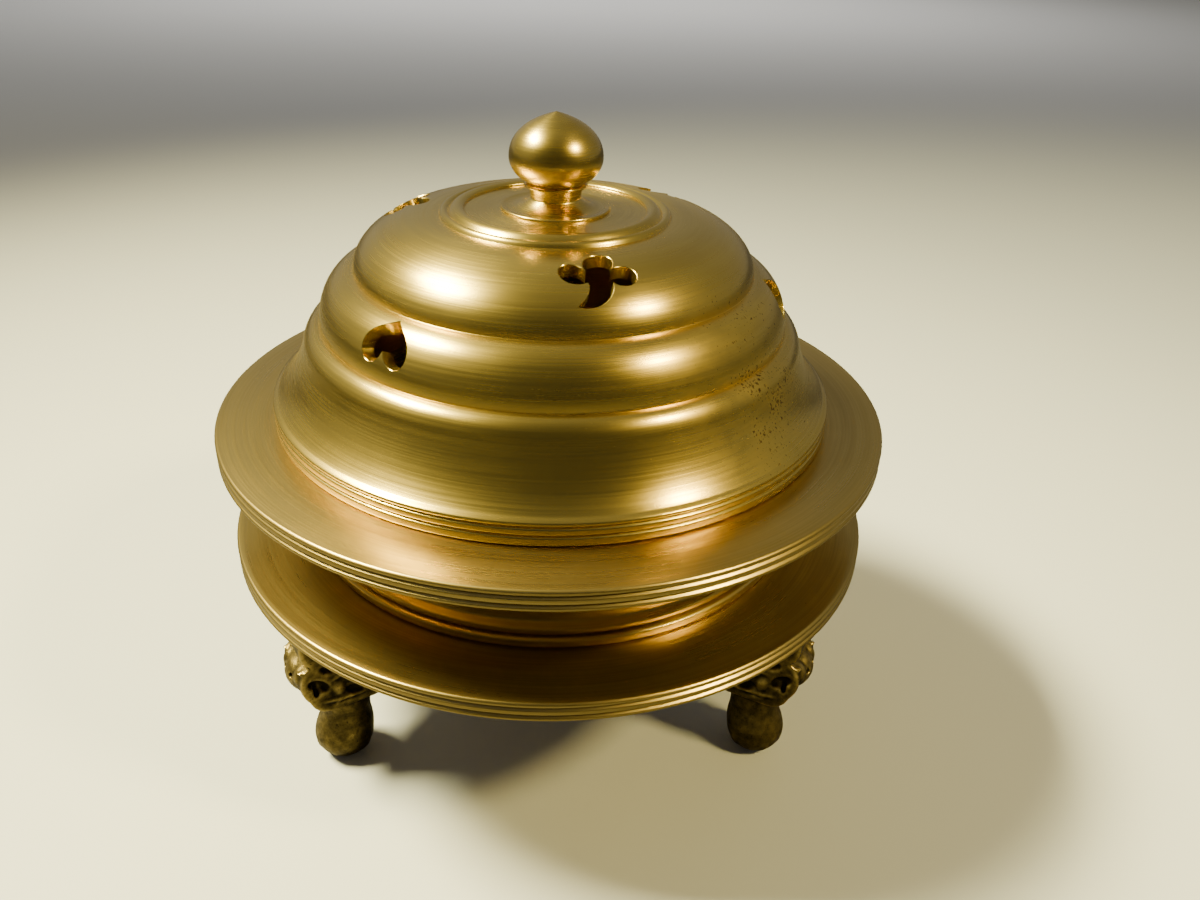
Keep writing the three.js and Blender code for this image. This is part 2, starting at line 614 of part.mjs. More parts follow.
// A round-headed screw along X, with its head inside the bowl.
function screwGeometry() {
  const seat = BOWL_WALL_RADIUS - 2 * FIT_GAP;
  const points = [new THREE.Vector2(0, seat - SCREW_HEAD_THICKNESS)];
  arcTo(points, SCREW_HEAD_RADIUS, seat, SCREW_HEAD_SWELL, 3);
  lineTo(points, [[SCREW_RADIUS, seat], [SCREW_RADIUS, seat + SCREW_REACH], [0, seat + SCREW_REACH]]);
  const screw = new THREE.LatheGeometry(points, SMALL_STEPS);
  screw.rotateZ(-Math.PI / 2);
  screw.translate(0, 0, SCREW_HEIGHT);
  return screw;
}

const burner = new THREE.Group();
burner.add(finished('basin', basinGeometry(), BRASS));
burner.add(finished('middle_ring', ringGeometry(), BRASS));
burner.add(finished('lid', lidGeometry(), BRASS));
burner.add(finished('lid_knob', knobGeometry(), BRASS));

const washer = finished('knob_washer', washerGeometry(), DULL_BRASS);
washer.position.z = CROWN_INSIDE - WASHER_THICKNESS - FIT_GAP;
const nut = finished('knob_nut', nutGeometry(), DULL_BRASS);
nut.position.z = washer.position.z - NUT_THICKNESS;
burner.add(washer, nut);

for (const [name, azimuth] of Object.entries(LEG_AZIMUTHS)) {
  const leg = finished(name, legGeometry(azimuth), LEG_BRASS);
  const screw = finished(`${name}_screw`, screwGeometry(), DULL_BRASS);
  leg.rotation.z = THREE.MathUtils.degToRad(azimuth);
  screw.rotation.z = THREE.MathUtils.degToRad(azimuth);
  burner.add(leg, screw);
}

export default burner;
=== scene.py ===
"""Looks for a tiered brass incense burner: fine turned pieces, cast legs, brass finishes and a studio."""

import logging
import math
from bisect import bisect_left
from collections.abc import Callable, Sequence
from dataclasses import dataclass, field
from enum import Enum
from typing import Any

import bmesh
import bpy
from mathutils import Matrix, Vector
from mathutils.geometry import interpolate_bezier

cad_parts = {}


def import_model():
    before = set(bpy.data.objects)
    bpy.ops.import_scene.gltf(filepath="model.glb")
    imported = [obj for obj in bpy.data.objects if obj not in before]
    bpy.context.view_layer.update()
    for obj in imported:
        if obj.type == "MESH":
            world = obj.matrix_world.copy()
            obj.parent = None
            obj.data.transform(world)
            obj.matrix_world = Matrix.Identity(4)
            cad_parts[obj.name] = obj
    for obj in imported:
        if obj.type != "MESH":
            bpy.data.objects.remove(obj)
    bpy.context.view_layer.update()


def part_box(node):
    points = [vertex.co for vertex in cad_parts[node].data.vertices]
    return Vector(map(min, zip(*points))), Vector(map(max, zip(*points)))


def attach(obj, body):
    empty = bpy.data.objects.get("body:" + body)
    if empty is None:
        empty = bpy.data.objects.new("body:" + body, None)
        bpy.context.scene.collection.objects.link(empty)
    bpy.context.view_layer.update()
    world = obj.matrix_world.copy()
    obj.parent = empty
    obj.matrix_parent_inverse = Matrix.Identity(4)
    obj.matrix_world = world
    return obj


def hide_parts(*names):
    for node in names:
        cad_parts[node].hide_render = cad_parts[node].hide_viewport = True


log = logging.getLogger("burner")

Triple = tuple[float, float, float]
Colour = Triple
Pair = tuple[float, float]
Socket = bpy.types.NodeSocket
Form = bmesh.types.BMesh
Corner = bmesh.types.BMVert
Edge = bmesh.types.BMEdge

MM = 0.001
TURNING_STEPS = 180
SMALL_TURNING_STEPS = 72
SHARP_ANGLE = math.radians(32)
CORNER_SHARES = (0.0, 0.33, 0.67, 1.0)
CORNER_LIMIT = 0.45
MARGIN = 0.1
AXIS = Vector((0, 0, 1))
LYING = Matrix.Rotation(math.pi / 2, 4, "Y")
LEG_AZIMUTHS = {"leg_rear": 90.0, "leg_front_left": 210.0, "leg_front_right": 330.0}


class Slot(Enum):
    """The material slot names that the pieces' tickets carry."""

    TURNED = "turned_brass"
    POLISHED = "polished_brass"
    CAST = "cast_brass"
    DULL = "dull_brass"


class Body(Enum):
    """The bodies that the pieces ride on."""

    BASE = "base"
    RING = "ring"
    LID = "lid"


class Side(Enum):
    """The sides of a node's box that a size is read from, each as a corner and an axis."""

    BOTTOM = (0, 2)
    TOP = (1, 2)
    REACH = (1, 0)


def from_frame(node: str, side: Side) -> Any:
    """Declares a size that is read from the frame when its class is made.

    Args:
        node: The node whose box is measured.
        side: The side of the box.

    Returns:
        The dataclass field, in millimetres.
    """
    corner, axis = side.value
    return field(default_factory=lambda: round(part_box(node)[corner][axis] / MM, 3))


# Materials


class Board:
    """A node tree that is filled one node at a time."""

    def __init__(self, tree: bpy.types.NodeTree) -> None:
        """Takes the tree to fill.

        Args:
            tree: The node tree of a material, a world or a group.
        """
        self.tree = tree

    def feed(self, socket: Socket, value: Any) -> None:
        """Links a socket to another, or sets its value.

        Args:
            socket: The input to feed.
            value: Another node's output, or a plain value.
        """
        if isinstance(value, bpy.types.NodeSocket):
            self.tree.links.new(value, socket)
        else:
            socket.default_value = value

    def add(self, kind: str, inputs: dict[Any, Any], outlet: Any = 0, **settings: Any) -> Socket:
        """Adds a node.

        Args:
            kind: The node's type name.
            inputs: What each of its inputs gets.
            outlet: The output to give back.
            **settings: The node's own settings.

        Returns:
            The chosen output.
        """
        node = self.tree.nodes.new(kind)
        for key, value in settings.items():
            setattr(node, key, value)
        for key, value in inputs.items():
            self.feed(node.inputs[key], value)
        return node.outputs[outlet]

    def math(self, operation: str, *values: Any) -> Socket:
        """Adds a Math node with the values in order, and gives back its result."""
        return self.add("ShaderNodeMath", dict(enumerate(values)), operation=operation)

    def vector(self, operation: str, inputs: dict[Any, Any], outlet: Any = 0) -> Socket:
        """Adds a Vector Math node and gives back its result."""
        return self.add("ShaderNodeVectorMath", inputs, outlet, operation=operation)

    def stack(self, start: Any, *layers: tuple[Socket, float]) -> Any:
        """Adds weighted values to a first one.

        Args:
            start: The value to start from.
            *layers: Each value with its weight.

        Returns:
            The sum.
        """
        total = start
        for value, weight in layers:
            total = self.math("MULTIPLY_ADD", value, weight, total)
        return total

    def ramp(self, value: Socket, low: Any, high: Any) -> Socket:
        """Maps a value smoothly to between 0 and 1.

        Args:
            value: The value to map.
            low: The value that gives 0.
            high: The value that gives 1.

        Returns:
            The mapped value.
        """
        inputs = {"Value": value, "From Min": low, "From Max": high}
        return self.add("ShaderNodeMapRange", inputs, interpolation_type="SMOOTHSTEP")

    def blend(self, share: Any, below: Any, above: Any) -> Socket:
        """Blends two colours.

        Args:
            share: How much of the upper colour shows.
            below: The lower colour.
            above: The upper colour.

        Returns:
            The blended colour.
        """
        colours = [value if isinstance(value, bpy.types.NodeSocket) else (*value, 1.0)
                   for value in (below, above)]
        return self.add("ShaderNodeMix", {0: share, 6: colours[0], 7: colours[1]}, 2, data_type="RGBA")

    def noise(self, vector: Socket, scale: Any, detail: float = 3.0, rough: float = 0.55) -> Socket:
        """Adds a noise texture and gives back its value."""
        inputs = {"Vector": vector, "Scale": scale, "Detail": detail, "Roughness": rough}
        return self.add("ShaderNodeTexNoise", inputs)

    def place(self) -> Socket:
        """Gives back the Object coordinates."""
        return self.add("ShaderNodeTexCoord", {}, "Object")


class Effect:
    """A shader node group that several finishes share."""

    name = ""
    inputs: dict[str, Any] = {}
    outputs: Sequence[str] = ()

    def tree(self) -> bpy.types.NodeTree:
        """Gives back the group, which is built the first time.

        Returns:
            The node group.
        """
        if self.name in bpy.data.node_groups:
            return bpy.data.node_groups[self.name]
        made = bpy.data.node_groups.new(self.name, "ShaderNodeTree")
        for label, value in self.inputs.items():
            kind = "NodeSocketVector" if isinstance(value, tuple) else "NodeSocketFloat"
            socket = made.interface.new_socket(name=label, in_out="INPUT", socket_type=kind)
            socket.default_value = value
        for label in self.outputs:
            made.interface.new_socket(name=label, in_out="OUTPUT", socket_type="NodeSocketFloat")
        inlet = made.nodes.new("NodeGroupInput")
        outlet = made.nodes.new("NodeGroupOutput")
        board = Board(made)
        for label, socket in self.draw(board, inlet.outputs).items():
            board.feed(outlet.inputs[label], socket)
        return made

    def draw(self, board: Board, given: Any) -> dict[str, Socket]:
        """Builds the group's inside.

        Args:
            board: The group's node tree.
            given: The group's inputs, by name.

        Returns:
            What each output gives.
        """
        raise NotImplementedError

    def use(self, board: Board, **values: Any) -> Any:
        """Places the group in a material.

        Args:
            board: The material's node tree.
            **values: What each input gets, with underscores for spaces.

        Returns:
            The group's outputs, by name.
        """
        node = board.tree.nodes.new("ShaderNodeGroup")
        node.node_tree = self.tree()
        for label, value in values.items():
            board.feed(node.inputs[label.replace("_", " ")], value)
        return node.outputs


class TurningMarks(Effect):
    """The rings that a lathe tool and a polishing cloth leave round an axis."""

    name = "turning_marks"
    inputs = {"Vector": (0.0, 0.0, 0.0), "Spacing": 0.0004, "Waver": 1.5}
    outputs = ("Lines", "Bands")
    band_width = 9.0
    contrast = (0.28, 0.72)

    def draw(self, board: Board, given: Any) -> dict[str, Socket]:
        """Builds noise that changes fast across the rings and slowly along them.

        Args:
            board: The group's node tree.
            given: The group's inputs, by name.

        Returns:
            Fine lines and broad bands, both from 0 to 1.
        """
        parts = board.tree.nodes.new("ShaderNodeSeparateXYZ")
        board.feed(parts.inputs[0], given["Vector"])
        across, along, up = parts.outputs
        flat = board.add("ShaderNodeCombineXYZ", {0: across, 1: along, 2: 0.0})
        radius = board.vector("LENGTH", {0: flat}, "Value")
        waver = board.vector("SCALE", {0: board.vector("NORMALIZE", {0: flat}), "Scale": given["Waver"]})
        results = {}
        for label, factor in (("Lines", 1.0), ("Bands", self.band_width)):
            step = board.math("MULTIPLY", given["Spacing"], factor)
            depth = board.add("ShaderNodeCombineXYZ", {2: board.math("DIVIDE", radius, step)})
            where = board.vector("ADD", {0: waver, 1: depth})
            inputs = {"Vector": where, "W": board.math("DIVIDE", up, step), "Scale": 1.0, "Detail": 2.0}
            value = board.add("ShaderNodeTexNoise", inputs, noise_dimensions="4D")
            results[label] = board.ramp(value, *self.contrast)
        return results


class Tarnish(Effect):
    """Cloudy dulling, and grainy specks that crowd together round one place."""

    name = "tarnish"
    inputs = {
        "Vector": (0.0, 0.0, 0.0), "Grain": 0.0004, "Cover": 0.1,
        "Centre": (0.0, 0.0, 0.0), "Reach": 0.02, "Crowding": 0.0,
    }
    outputs = ("Specks", "Clouds", "Patch")
    patch_fade = (1.0, 0.1)
    patch_noise = 130.0
    patch_contrast = (0.2, 0.7)
    cloud_noise = 38.0
    cloud_contrast = (0.3, 0.7)
    speck_edge = 0.78
    speck_crowding = 0.3
    speck_fade = 0.07

    def draw(self, board: Board, given: Any) -> dict[str, Socket]:
        """Builds specks whose number grows towards the crowded place.

        Args:
            board: The group's node tree.
            given: The group's inputs, by name.

        Returns:
            The specks, the clouds and the crowded patch, all from 0 to 1.
        """
        place = given["Vector"]
        away = board.vector("DISTANCE", {0: place, 1: given["Centre"]}, "Value")
        near = board.ramp(board.math("DIVIDE", away, given["Reach"]), *self.patch_fade)
        broken = board.ramp(board.noise(place, self.patch_noise, 4.0), *self.patch_contrast)
        patch = board.math("MULTIPLY", board.math("MULTIPLY", near, broken), given["Crowding"])
        crowd = board.math("ADD", patch, given["Cover"])
        grain = board.noise(place, board.math("DIVIDE", 1.0, given["Grain"]), 2.0, 0.6)
        edge = board.math("SUBTRACT", self.speck_edge, board.math("MULTIPLY", crowd, self.speck_crowding))
        specks = board.ramp(board.math("SUBTRACT", grain, edge), 0.0, self.speck_fade)
        clouds = board.ramp(board.noise(place, self.cloud_noise, 5.0), *self.cloud_contrast)
        return {"Specks": specks, "Clouds": clouds, "Patch": patch}


class Recesses(Effect):
    """Dark patina that stays in hollows and wears off high spots."""

    name = "recess_patina"
    inputs = {"Vector": (0.0, 0.0, 0.0), "Relief": 0.5, "Cover": 0.5, "Grain": 0.001}
    outputs = ("Patina", "Shine")
    stir = 0.5
    clean_above = 0.22
    dark_below = 0.16
    shine_contrast = (0.55, 0.85)

    def draw(self, board: Board, given: Any) -> dict[str, Socket]:
        """Builds a patina mask from the relief, broken up by noise.

        Args:
            board: The group's node tree.
            given: The group's inputs, by name.

        Returns:
            The patina in the hollows and the shine on the high spots, from 0 to 1.
        """
        rough = board.noise(given["Vector"], board.math("DIVIDE", 1.0, given["Grain"]), 4.0, 0.65)
        stirred = board.stack(given["Relief"], (board.math("SUBTRACT", rough, 0.5), self.stir))
        edge = board.math("ADD", given["Cover"], self.clean_above)
        patina = board.ramp(stirred, edge, board.math("SUBTRACT", given["Cover"], self.dark_below))
        shine = board.ramp(stirred, *self.shine_contrast)
        return {"Patina": patina, "Shine": shine}


@dataclass(frozen=True)
class Finish:
    """A brass finish, whose material is built the first time that a piece asks for it."""

    name: str

    def material(self) -> bpy.types.Material:
        """Gives back the finish as a node material.

        Returns:
            The material.
        """
        if self.name in bpy.data.materials:
            return bpy.data.materials[self.name]
        made = bpy.data.materials.new(self.name)
        made.use_nodes = True
        shader = made.node_tree.nodes["Principled BSDF"]
        shader.inputs["Metallic"].default_value = 1.0
        self.dress(Board(made.node_tree), shader)
        return made

    def dress(self, board: Board, shader: bpy.types.ShaderNode) -> None:
        """Links the finish's colour, gloss and relief to the shader.

        Args:
            board: The material's node tree.
            shader: Its Principled BSDF.
        """
        raise NotImplementedError


@dataclass(frozen=True)
class TurnedFinish(Finish):
    """Brass off the lathe: its colours, its gloss, its rings and its tarnish."""

    bright: Colour
    deep: Colour
    stain: Colour
    roughness: float
    grain_gloss: float = 0.05
    patch_gloss: float = 0.16
    speck_gloss: float = 0.25
    anisotropy: float = 0.5
    grain_turn: float = 0.25
    spacing: float = 0.00035
    waver: float = 1.5
    line_depth: float = 0.12
    line_tint: float = 0.35
    band_tint: float = 0.3
    cloud_tint: float = 0.45
    speck_rise: float = -0.6
    relief_height: float = 0.00004
    speck_grain: float = 0.0004
    speck_cover: float = 0.1
    crowd_centre: Triple = (0.0, 0.0, 0.0)
    crowd_reach: float = 0.02
    crowding: float = 0.0

    def dress(self, board: Board, shader: bpy.types.ShaderNode) -> None:
        """Lays rings, clouds and specks over the brass.

        Args:
            board: The material's node tree.
            shader: Its Principled BSDF.
        """
        place = board.place()
        rings = TurningMarks().use(board, Vector=place, Spacing=self.spacing, Waver=self.waver)
        spots = Tarnish().use(
            board, Vector=place, Grain=self.speck_grain, Cover=self.speck_cover,
            Centre=self.crowd_centre, Reach=self.crowd_reach, Crowding=self.crowding)
        lines, specks, clouds = rings["Lines"], spots["Specks"], spots["Clouds"]
        tone = board.stack(
            0.0, (lines, self.line_tint), (rings["Bands"], self.band_tint), (clouds, self.cloud_tint))
        metal = board.blend(tone, self.bright, self.deep)
        board.feed(shader.inputs["Base Color"], board.blend(specks, metal, self.stain))
        gloss = board.stack(
            self.roughness, (lines, self.grain_gloss), (clouds, self.grain_gloss),
            (spots["Patch"], self.patch_gloss), (specks, self.speck_gloss))
        board.feed(shader.inputs["Roughness"], gloss)
        height = board.stack(lines, (specks, self.speck_rise))
        bump = {"Height": height, "Strength": self.line_depth, "Distance": self.relief_height}
        board.feed(shader.inputs["Normal"], board.add("ShaderNodeBump", bump))
        shader.inputs["Anisotropic"].default_value = self.anisotropy
        shader.inputs["Anisotropic Rotation"].default_value = self.grain_turn


@dataclass(frozen=True)
class CastFinish(Finish):
    """Cast brass with dark patina in its hollows and polished high spots."""

    bright: Colour
    middle: Colour
    patina: Colour
    roughness: float
    patina_roughness: float
    cover: float
    patina_grain: float = 0.0016
    speck_grain: float = 0.0005
    speck_cover: float = 0.45
    cloud_gloss: float = 0.1
    coarse_pits: float = 900.0
    fine_pits: float = 3200.0
    fine_share: float = 0.35
    speck_rise: float = -0.5
    pit_depth: float = 0.5
    relief_height: float = 0.0002

    def dress(self, board: Board, shader: bpy.types.ShaderNode) -> None:
        """Lays patina, specks and pits over the brass, by the mesh's own relief.

        Args:
            board: The material's node tree.
            shader: Its Principled BSDF.
        """
        place = board.place()
        relief = board.add("ShaderNodeAttribute", {}, "Fac", attribute_name="relief")
        masks = Recesses().use(board, Vector=place, Relief=relief, Cover=self.cover, Grain=self.patina_grain)
        spots = Tarnish().use(board, Vector=place, Grain=self.speck_grain, Cover=self.speck_cover)
        metal = board.blend(masks["Shine"], self.middle, self.bright)
        metal = board.blend(masks["Patina"], metal, self.patina)
        board.feed(shader.inputs["Base Color"], board.blend(spots["Specks"], metal, self.patina))
        dulling = self.patina_roughness - self.roughness
        gloss = board.stack(self.roughness, (masks["Patina"], dulling), (spots["Clouds"], self.cloud_gloss))
        board.feed(shader.inputs["Roughness"], gloss)
        coarse = board.noise(place, self.coarse_pits, 3.0)
        fine = board.noise(place, self.fine_pits, 2.0)
        height = board.stack(coarse, (fine, self.fine_share), (spots["Specks"], self.speck_rise))
        bump = {"Height": height, "Strength": self.pit_depth, "Distance": self.relief_height}
        board.feed(shader.inputs["Normal"], board.add("ShaderNodeBump", bump))


DARK_STAIN = (0.09, 0.055, 0.02)

DOME = TurnedFinish(
    "satin_dome_brass", bright=(0.78, 0.57, 0.13), deep=(0.58, 0.41, 0.085), stain=DARK_STAIN,
    roughness=0.2, speck_grain=0.0005, speck_cover=0.05,
    crowd_centre=(0.033, -0.028, 0.084), crowd_reach=0.026, crowding=0.9)
FLANGE = TurnedFinish(
    "matte_flange_brass", bright=(0.60, 0.44, 0.14), deep=(0.42, 0.30, 0.085), stain=DARK_STAIN,
    roughness=0.25, anisotropy=0.25, line_depth=0.2, line_tint=0.5, speck_cover=0.14)
RIM = TurnedFinish(
    "bright_rim_brass", bright=(0.52, 0.38, 0.11), deep=(0.36, 0.25, 0.06), stain=DARK_STAIN,
    roughness=0.3, anisotropy=0.4, spacing=0.0002, speck_cover=0.16)
BELLY = TurnedFinish(
    "brown_wall_brass", bright=(0.56, 0.39, 0.12), deep=(0.40, 0.27, 0.08), stain=DARK_STAIN,
    roughness=0.28, speck_cover=0.2)
KNOB = TurnedFinish(
    "polished_knob_brass", bright=(0.74, 0.54, 0.13), deep=(0.54, 0.38, 0.08), stain=DARK_STAIN,
    roughness=0.2, anisotropy=0.25, spacing=0.00025, line_depth=0.06, speck_grain=0.00025, speck_cover=0.12)
# Painted shade: darker, duller brass on the inside faces of the basin, ring and lid, where shade falls.
SHADED_INSIDE = TurnedFinish(
    "shaded_inside_brass", bright=(0.26, 0.16, 0.055), deep=(0.12, 0.07, 0.025), stain=(0.02, 0.015, 0.01),
    roughness=0.45, anisotropy=0.3, line_depth=0.3, speck_cover=0.35)
# Painted shade: near-black walls inside the vents, darkened so that they show no lamp reflection.
SHADED_VENT_WALL = TurnedFinish(
    "shaded_vent_wall_brass", bright=(0.022, 0.015, 0.007), deep=(0.012, 0.008, 0.004), stain=(0.01, 0.008, 0.005),
    roughness=0.6, anisotropy=0.0, line_depth=0.3, speck_cover=0.3)
FASTENER = TurnedFinish(
    "dull_fastener_brass", bright=(0.5, 0.36, 0.14), deep=(0.3, 0.2, 0.07), stain=DARK_STAIN,
    roughness=0.4, anisotropy=0.2, speck_cover=0.25)
CAST = CastFinish(
    "cast_leg_brass", bright=(0.80, 0.59, 0.19), middle=(0.36, 0.26, 0.08), patina=(0.035, 0.027, 0.012),
    roughness=0.25, patina_roughness=0.5, cover=0.5)


# Shapes


def upright_turn(azimuth: float) -> Matrix:
    """Gives the turn about the upright axis by an angle in degrees."""
    return Matrix.Rotation(math.radians(azimuth), 4, "Z")


def lying_at(azimuth: float, out: float, height: float) -> Matrix:
    """Gives the place of something that lies on its side and points away from the axis.

    Args:
        azimuth: Where it stands, in degrees.
        out: How far it is from the axis.
        height: Its height.

    Returns:
        The placing.
    """
    return upright_turn(azimuth) @ Matrix.Translation((out, 0, height)) @ LYING


def rod(radius: float, length: float, sides: int) -> Form:
    """Builds an upright prism about the origin.

    Args:
        radius: The radius of its corners.
        length: Its whole length.
        sides: How many sides it has.

    Returns:
        The prism.
    """
    made = bmesh.new()
    bmesh.ops.create_cone(
        made, cap_ends=True, segments=sides, radius1=radius, radius2=radius, depth=length)
    return made


def only(items: Sequence[Any], kind: type) -> list[Any]:
    """Gives back the items of one kind."""
    return [item for item in items if isinstance(item, kind)]


class Outline:
    """A turned piece's outline: points of (radius, height) in millimetres, each with a softened corner."""

    def __init__(self, radius: float, height: float) -> None:
        """Starts the outline at a point."""
        self.points = [Vector((radius, height))]
        self.soft = [0.0]

    def to(self, *pairs: Pair, soft: float = 0.12) -> "Outline":
        """Adds straight stretches.

        Args:
            *pairs: The radius and height of each point.
            soft: How far the rounding of each corner reaches.

        Returns:
            This outline.
        """
        for pair in pairs:
            self.points.append(Vector(pair))
            self.soft.append(soft)
        return self

    def arc(
            self, radius: float, height: float, swell: float, steps: int = 18,
            soft: float = 0.12) -> "Outline":
        """Adds a bow that stands out by swell at its middle.

        Args:
            radius: The bow's end.
            height: The bow's end.
            swell: How far its middle stands out to the right of the way it goes.
            steps: How many stretches it has.
            soft: The rounding of the corner at its end.

        Returns:
            This outline.
        """
        start = self.points[-1].copy()
        along = Vector((radius, height)) - start
        outward = Vector((along.y, -along.x)).normalized()
        for step in range(1, steps + 1):
            share = step / steps
            self.points.append(start + along * share + outward * (4 * swell * share * (1 - share)))
            self.soft.append(0.0)
        self.soft[-1] = soft
        return self

    def bezier(self, first: Pair, second: Pair, end: Pair, steps: int = 20, soft: float = 0.0) -> "Outline":
        """Adds a Bezier curve from the last point.

        Args:
            first: The handle at the last point.
            second: The handle at the end.
            end: The curve's end.
            steps: How many stretches it has.
            soft: The rounding of the corner at its end.

        Returns:
            This outline.
        """
        knots = [Vector((*pair, 0)) for pair in (self.points[-1], first, second, end)]
        for spot in interpolate_bezier(*knots, steps + 1)[1:]:
            self.points.append(Vector((spot.x, spot.y)))
            self.soft.append(0.0)
        self.soft[-1] = soft
        return self

    def follow(self, pairs: Sequence[Pair], soft: float = 0.0) -> "Outline":
        """Adds smooth points.

        Args:
            pairs: The radius and height of each point.
            soft: The rounding of the last one.

        Returns:
            This outline.
        """
        self.to(*pairs, soft=0.0)
        self.soft[-1] = soft
        return self

    def beads(
            self, radius: float, bottom: float, heights: Sequence[float], groove: float,
            shoulder: float) -> "Outline":
        """Adds flat-fronted beads from a height upward, each with a groove below and above it.

        Args:
            radius: The radius of the beads' fronts.
            bottom: The height of the lowest groove.
            heights: The height of each bead.
            groove: The depth of the grooves.
            shoulder: The height of the slope between a groove and a front.

        Returns:
            This outline.
        """
        level = bottom
        self.to((radius - groove, level), soft=0.06)
        for height in heights:
            self.to((radius, level + shoulder), (radius, level + height - shoulder), soft=0.2)
            self.to((radius - groove, level + height), soft=0.06)
            level += height
        return self

    def softened(self) -> list[Vector]:
        """Rounds the corners.

        Returns:
            The points of the whole outline.
        """
        made = []
        last = len(self.points) - 1
        for index, (point, soft) in enumerate(zip(self.points, self.soft)):
            if soft <= 0 or index in (0, last):
                made.append(point.copy())
                continue
            before = self.points[index - 1] - point
            after = self.points[index + 1] - point
            start = point + before.normalized() * min(soft, before.length * CORNER_LIMIT)
            end = point + after.normalized() * min(soft, after.length * CORNER_LIMIT)
            for share in CORNER_SHARES:
                made.append(start.lerp(point, share).lerp(point.lerp(end, share), share))
        return made

    def turned(self, steps: int = TURNING_STEPS, closed: bool = True) -> Form:
        """Turns the outline about the upright axis.

        Args:
            steps: How many facets go round.
            closed: Whether the outline closes on itself, not on the axis.

        Returns:
            The solid of revolution.
        """
        made = bmesh.new()
        spots = [made.verts.new((point.x, 0, point.y)) for point in self.softened()]
        edges = [made.edges.new(pair) for pair in zip(spots, spots[1:])]
        if closed:
            edges.append(made.edges.new((spots[-1], spots[0])))
        bmesh.ops.spin(
            made, geom=spots + edges, cent=(0, 0, 0), axis=AXIS, dvec=(0, 0, 0),
            angle=2 * math.pi, steps=steps, use_merge=True, use_duplicate=False)
        bmesh.ops.remove_doubles(made, verts=made.verts, dist=1e-4)
        bmesh.ops.recalc_face_normals(made, faces=made.faces)
        return made


def as_mesh(name: str, form: Form) -> bpy.types.Mesh:
    """Turns a form into a mesh and frees it.

    Args:
        name: The mesh's name.
        form: The form, which is freed.

    Returns:
        The mesh.
    """
    made = bpy.data.meshes.new(name)
    form.to_mesh(made)
    form.free()
    return made


def join(name: str, forms: Sequence[Form]) -> bpy.types.Mesh:
    """Puts several forms into one mesh, without joining their surfaces.

    Args:
        name: The mesh's name.
        forms: The forms, which are freed.

    Returns:
        The mesh.
    """
    whole = bmesh.new()
    for form in forms:
        part = as_mesh(name, form)
        whole.from_mesh(part)
        bpy.data.meshes.remove(part)
    return as_mesh(name, whole)


def stand(name: str, data: Any) -> bpy.types.Object:
    """Puts an object into the scene.

    Args:
        name: The object's name.
        data: Its mesh, lamp or lens.

    Returns:
        The object.
    """
    made = bpy.data.objects.new(name, data)
    bpy.context.scene.collection.objects.link(made)
    return made


class Bench:
    """Holds a mesh while modifiers work on it."""

    def __init__(self, name: str, mesh: bpy.types.Mesh) -> None:
        """Puts the mesh on the bench.

        Args:
            name: The working object's name.
            mesh: The mesh to work on.
        """
        self.piece = stand(name, mesh)

    def modify(self, kind: str, **settings: Any) -> "Bench":
        """Adds a modifier.

        Args:
            kind: The modifier's type.
            **settings: The modifier's settings.

        Returns:
            This bench.
        """
        added = self.piece.modifiers.new(kind.lower(), kind)
        for key, value in settings.items():
            setattr(added, key, value)
        return self

    def carve(self, cutter: bpy.types.Mesh) -> "Bench":
        """Cuts another mesh out of this one, and bakes the result.

        Args:
            cutter: The mesh to cut with, which is removed.

        Returns:
            This bench.
        """
        tool = stand("cutter", cutter)
        self.modify(
            "BOOLEAN", object=tool, operation="DIFFERENCE", solver="EXACT", material_mode="INDEX")
        self.bake()
        bpy.data.objects.remove(tool)
        bpy.data.meshes.remove(cutter)
        return self

    def bake(self) -> "Bench":
        """Applies the modifiers to the mesh.

        Returns:
            This bench.
        """
        bpy.context.view_layer.update()
        seen = bpy.context.evaluated_depsgraph_get()
        baked = bpy.data.meshes.new_from_object(self.piece.evaluated_get(seen), depsgraph=seen)
        old = self.piece.data
        self.piece.modifiers.clear()
        self.piece.data = baked
        bpy.data.meshes.remove(old)
        return self

    def take(self) -> bpy.types.Mesh:
        """Takes the mesh off the bench.

        Returns:
            The mesh.
        """
        mesh = self.piece.data
        bpy.data.objects.remove(self.piece)
        return mesh


@dataclass(frozen=True)
class Ticket:
    """What a finished piece is called, what it replaces and rides on, and its slot."""

    name: str
    node: str
    body: Body
    slot: Slot


def deliver(ticket: Ticket, mesh: bpy.types.Mesh, finishes: Sequence[Finish]) -> None:
    """Scales a mesh from millimetres, dresses it and hands it to the frame.

    Args:
        ticket: The piece's name, node, body and slot.
        mesh: The mesh, in millimetres.
        finishes: The finishes, in the order of the mesh's material indices.
    """
    mesh.transform(Matrix.Scale(MM, 4))
    mesh.name = ticket.name
    mesh.materials.clear()
    for finish in finishes:
        mesh.materials.append(finish.material())
    mesh.shade_smooth()
    mesh.set_sharp_from_angle(angle=SHARP_ANGLE)
    piece = stand(ticket.name, mesh)
    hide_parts(ticket.node)
    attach(piece, ticket.body.value)
    log.info("%s: %d faces", ticket.name, len(mesh.polygons))


def paint(form: Form, finishes: Sequence[Finish], choose: Callable[[float, float], Finish]) -> None:
    """Gives each face the finish of its place.

    Args:
        form: The turned form.
        finishes: The piece's finishes.
        choose: Gives the finish for a radius and a height.
    """
    for face in form.faces:
        middle = face.calc_center_median()
        face.material_index = finishes.index(choose(math.hypot(middle.x, middle.y), middle.z))


# Pieces


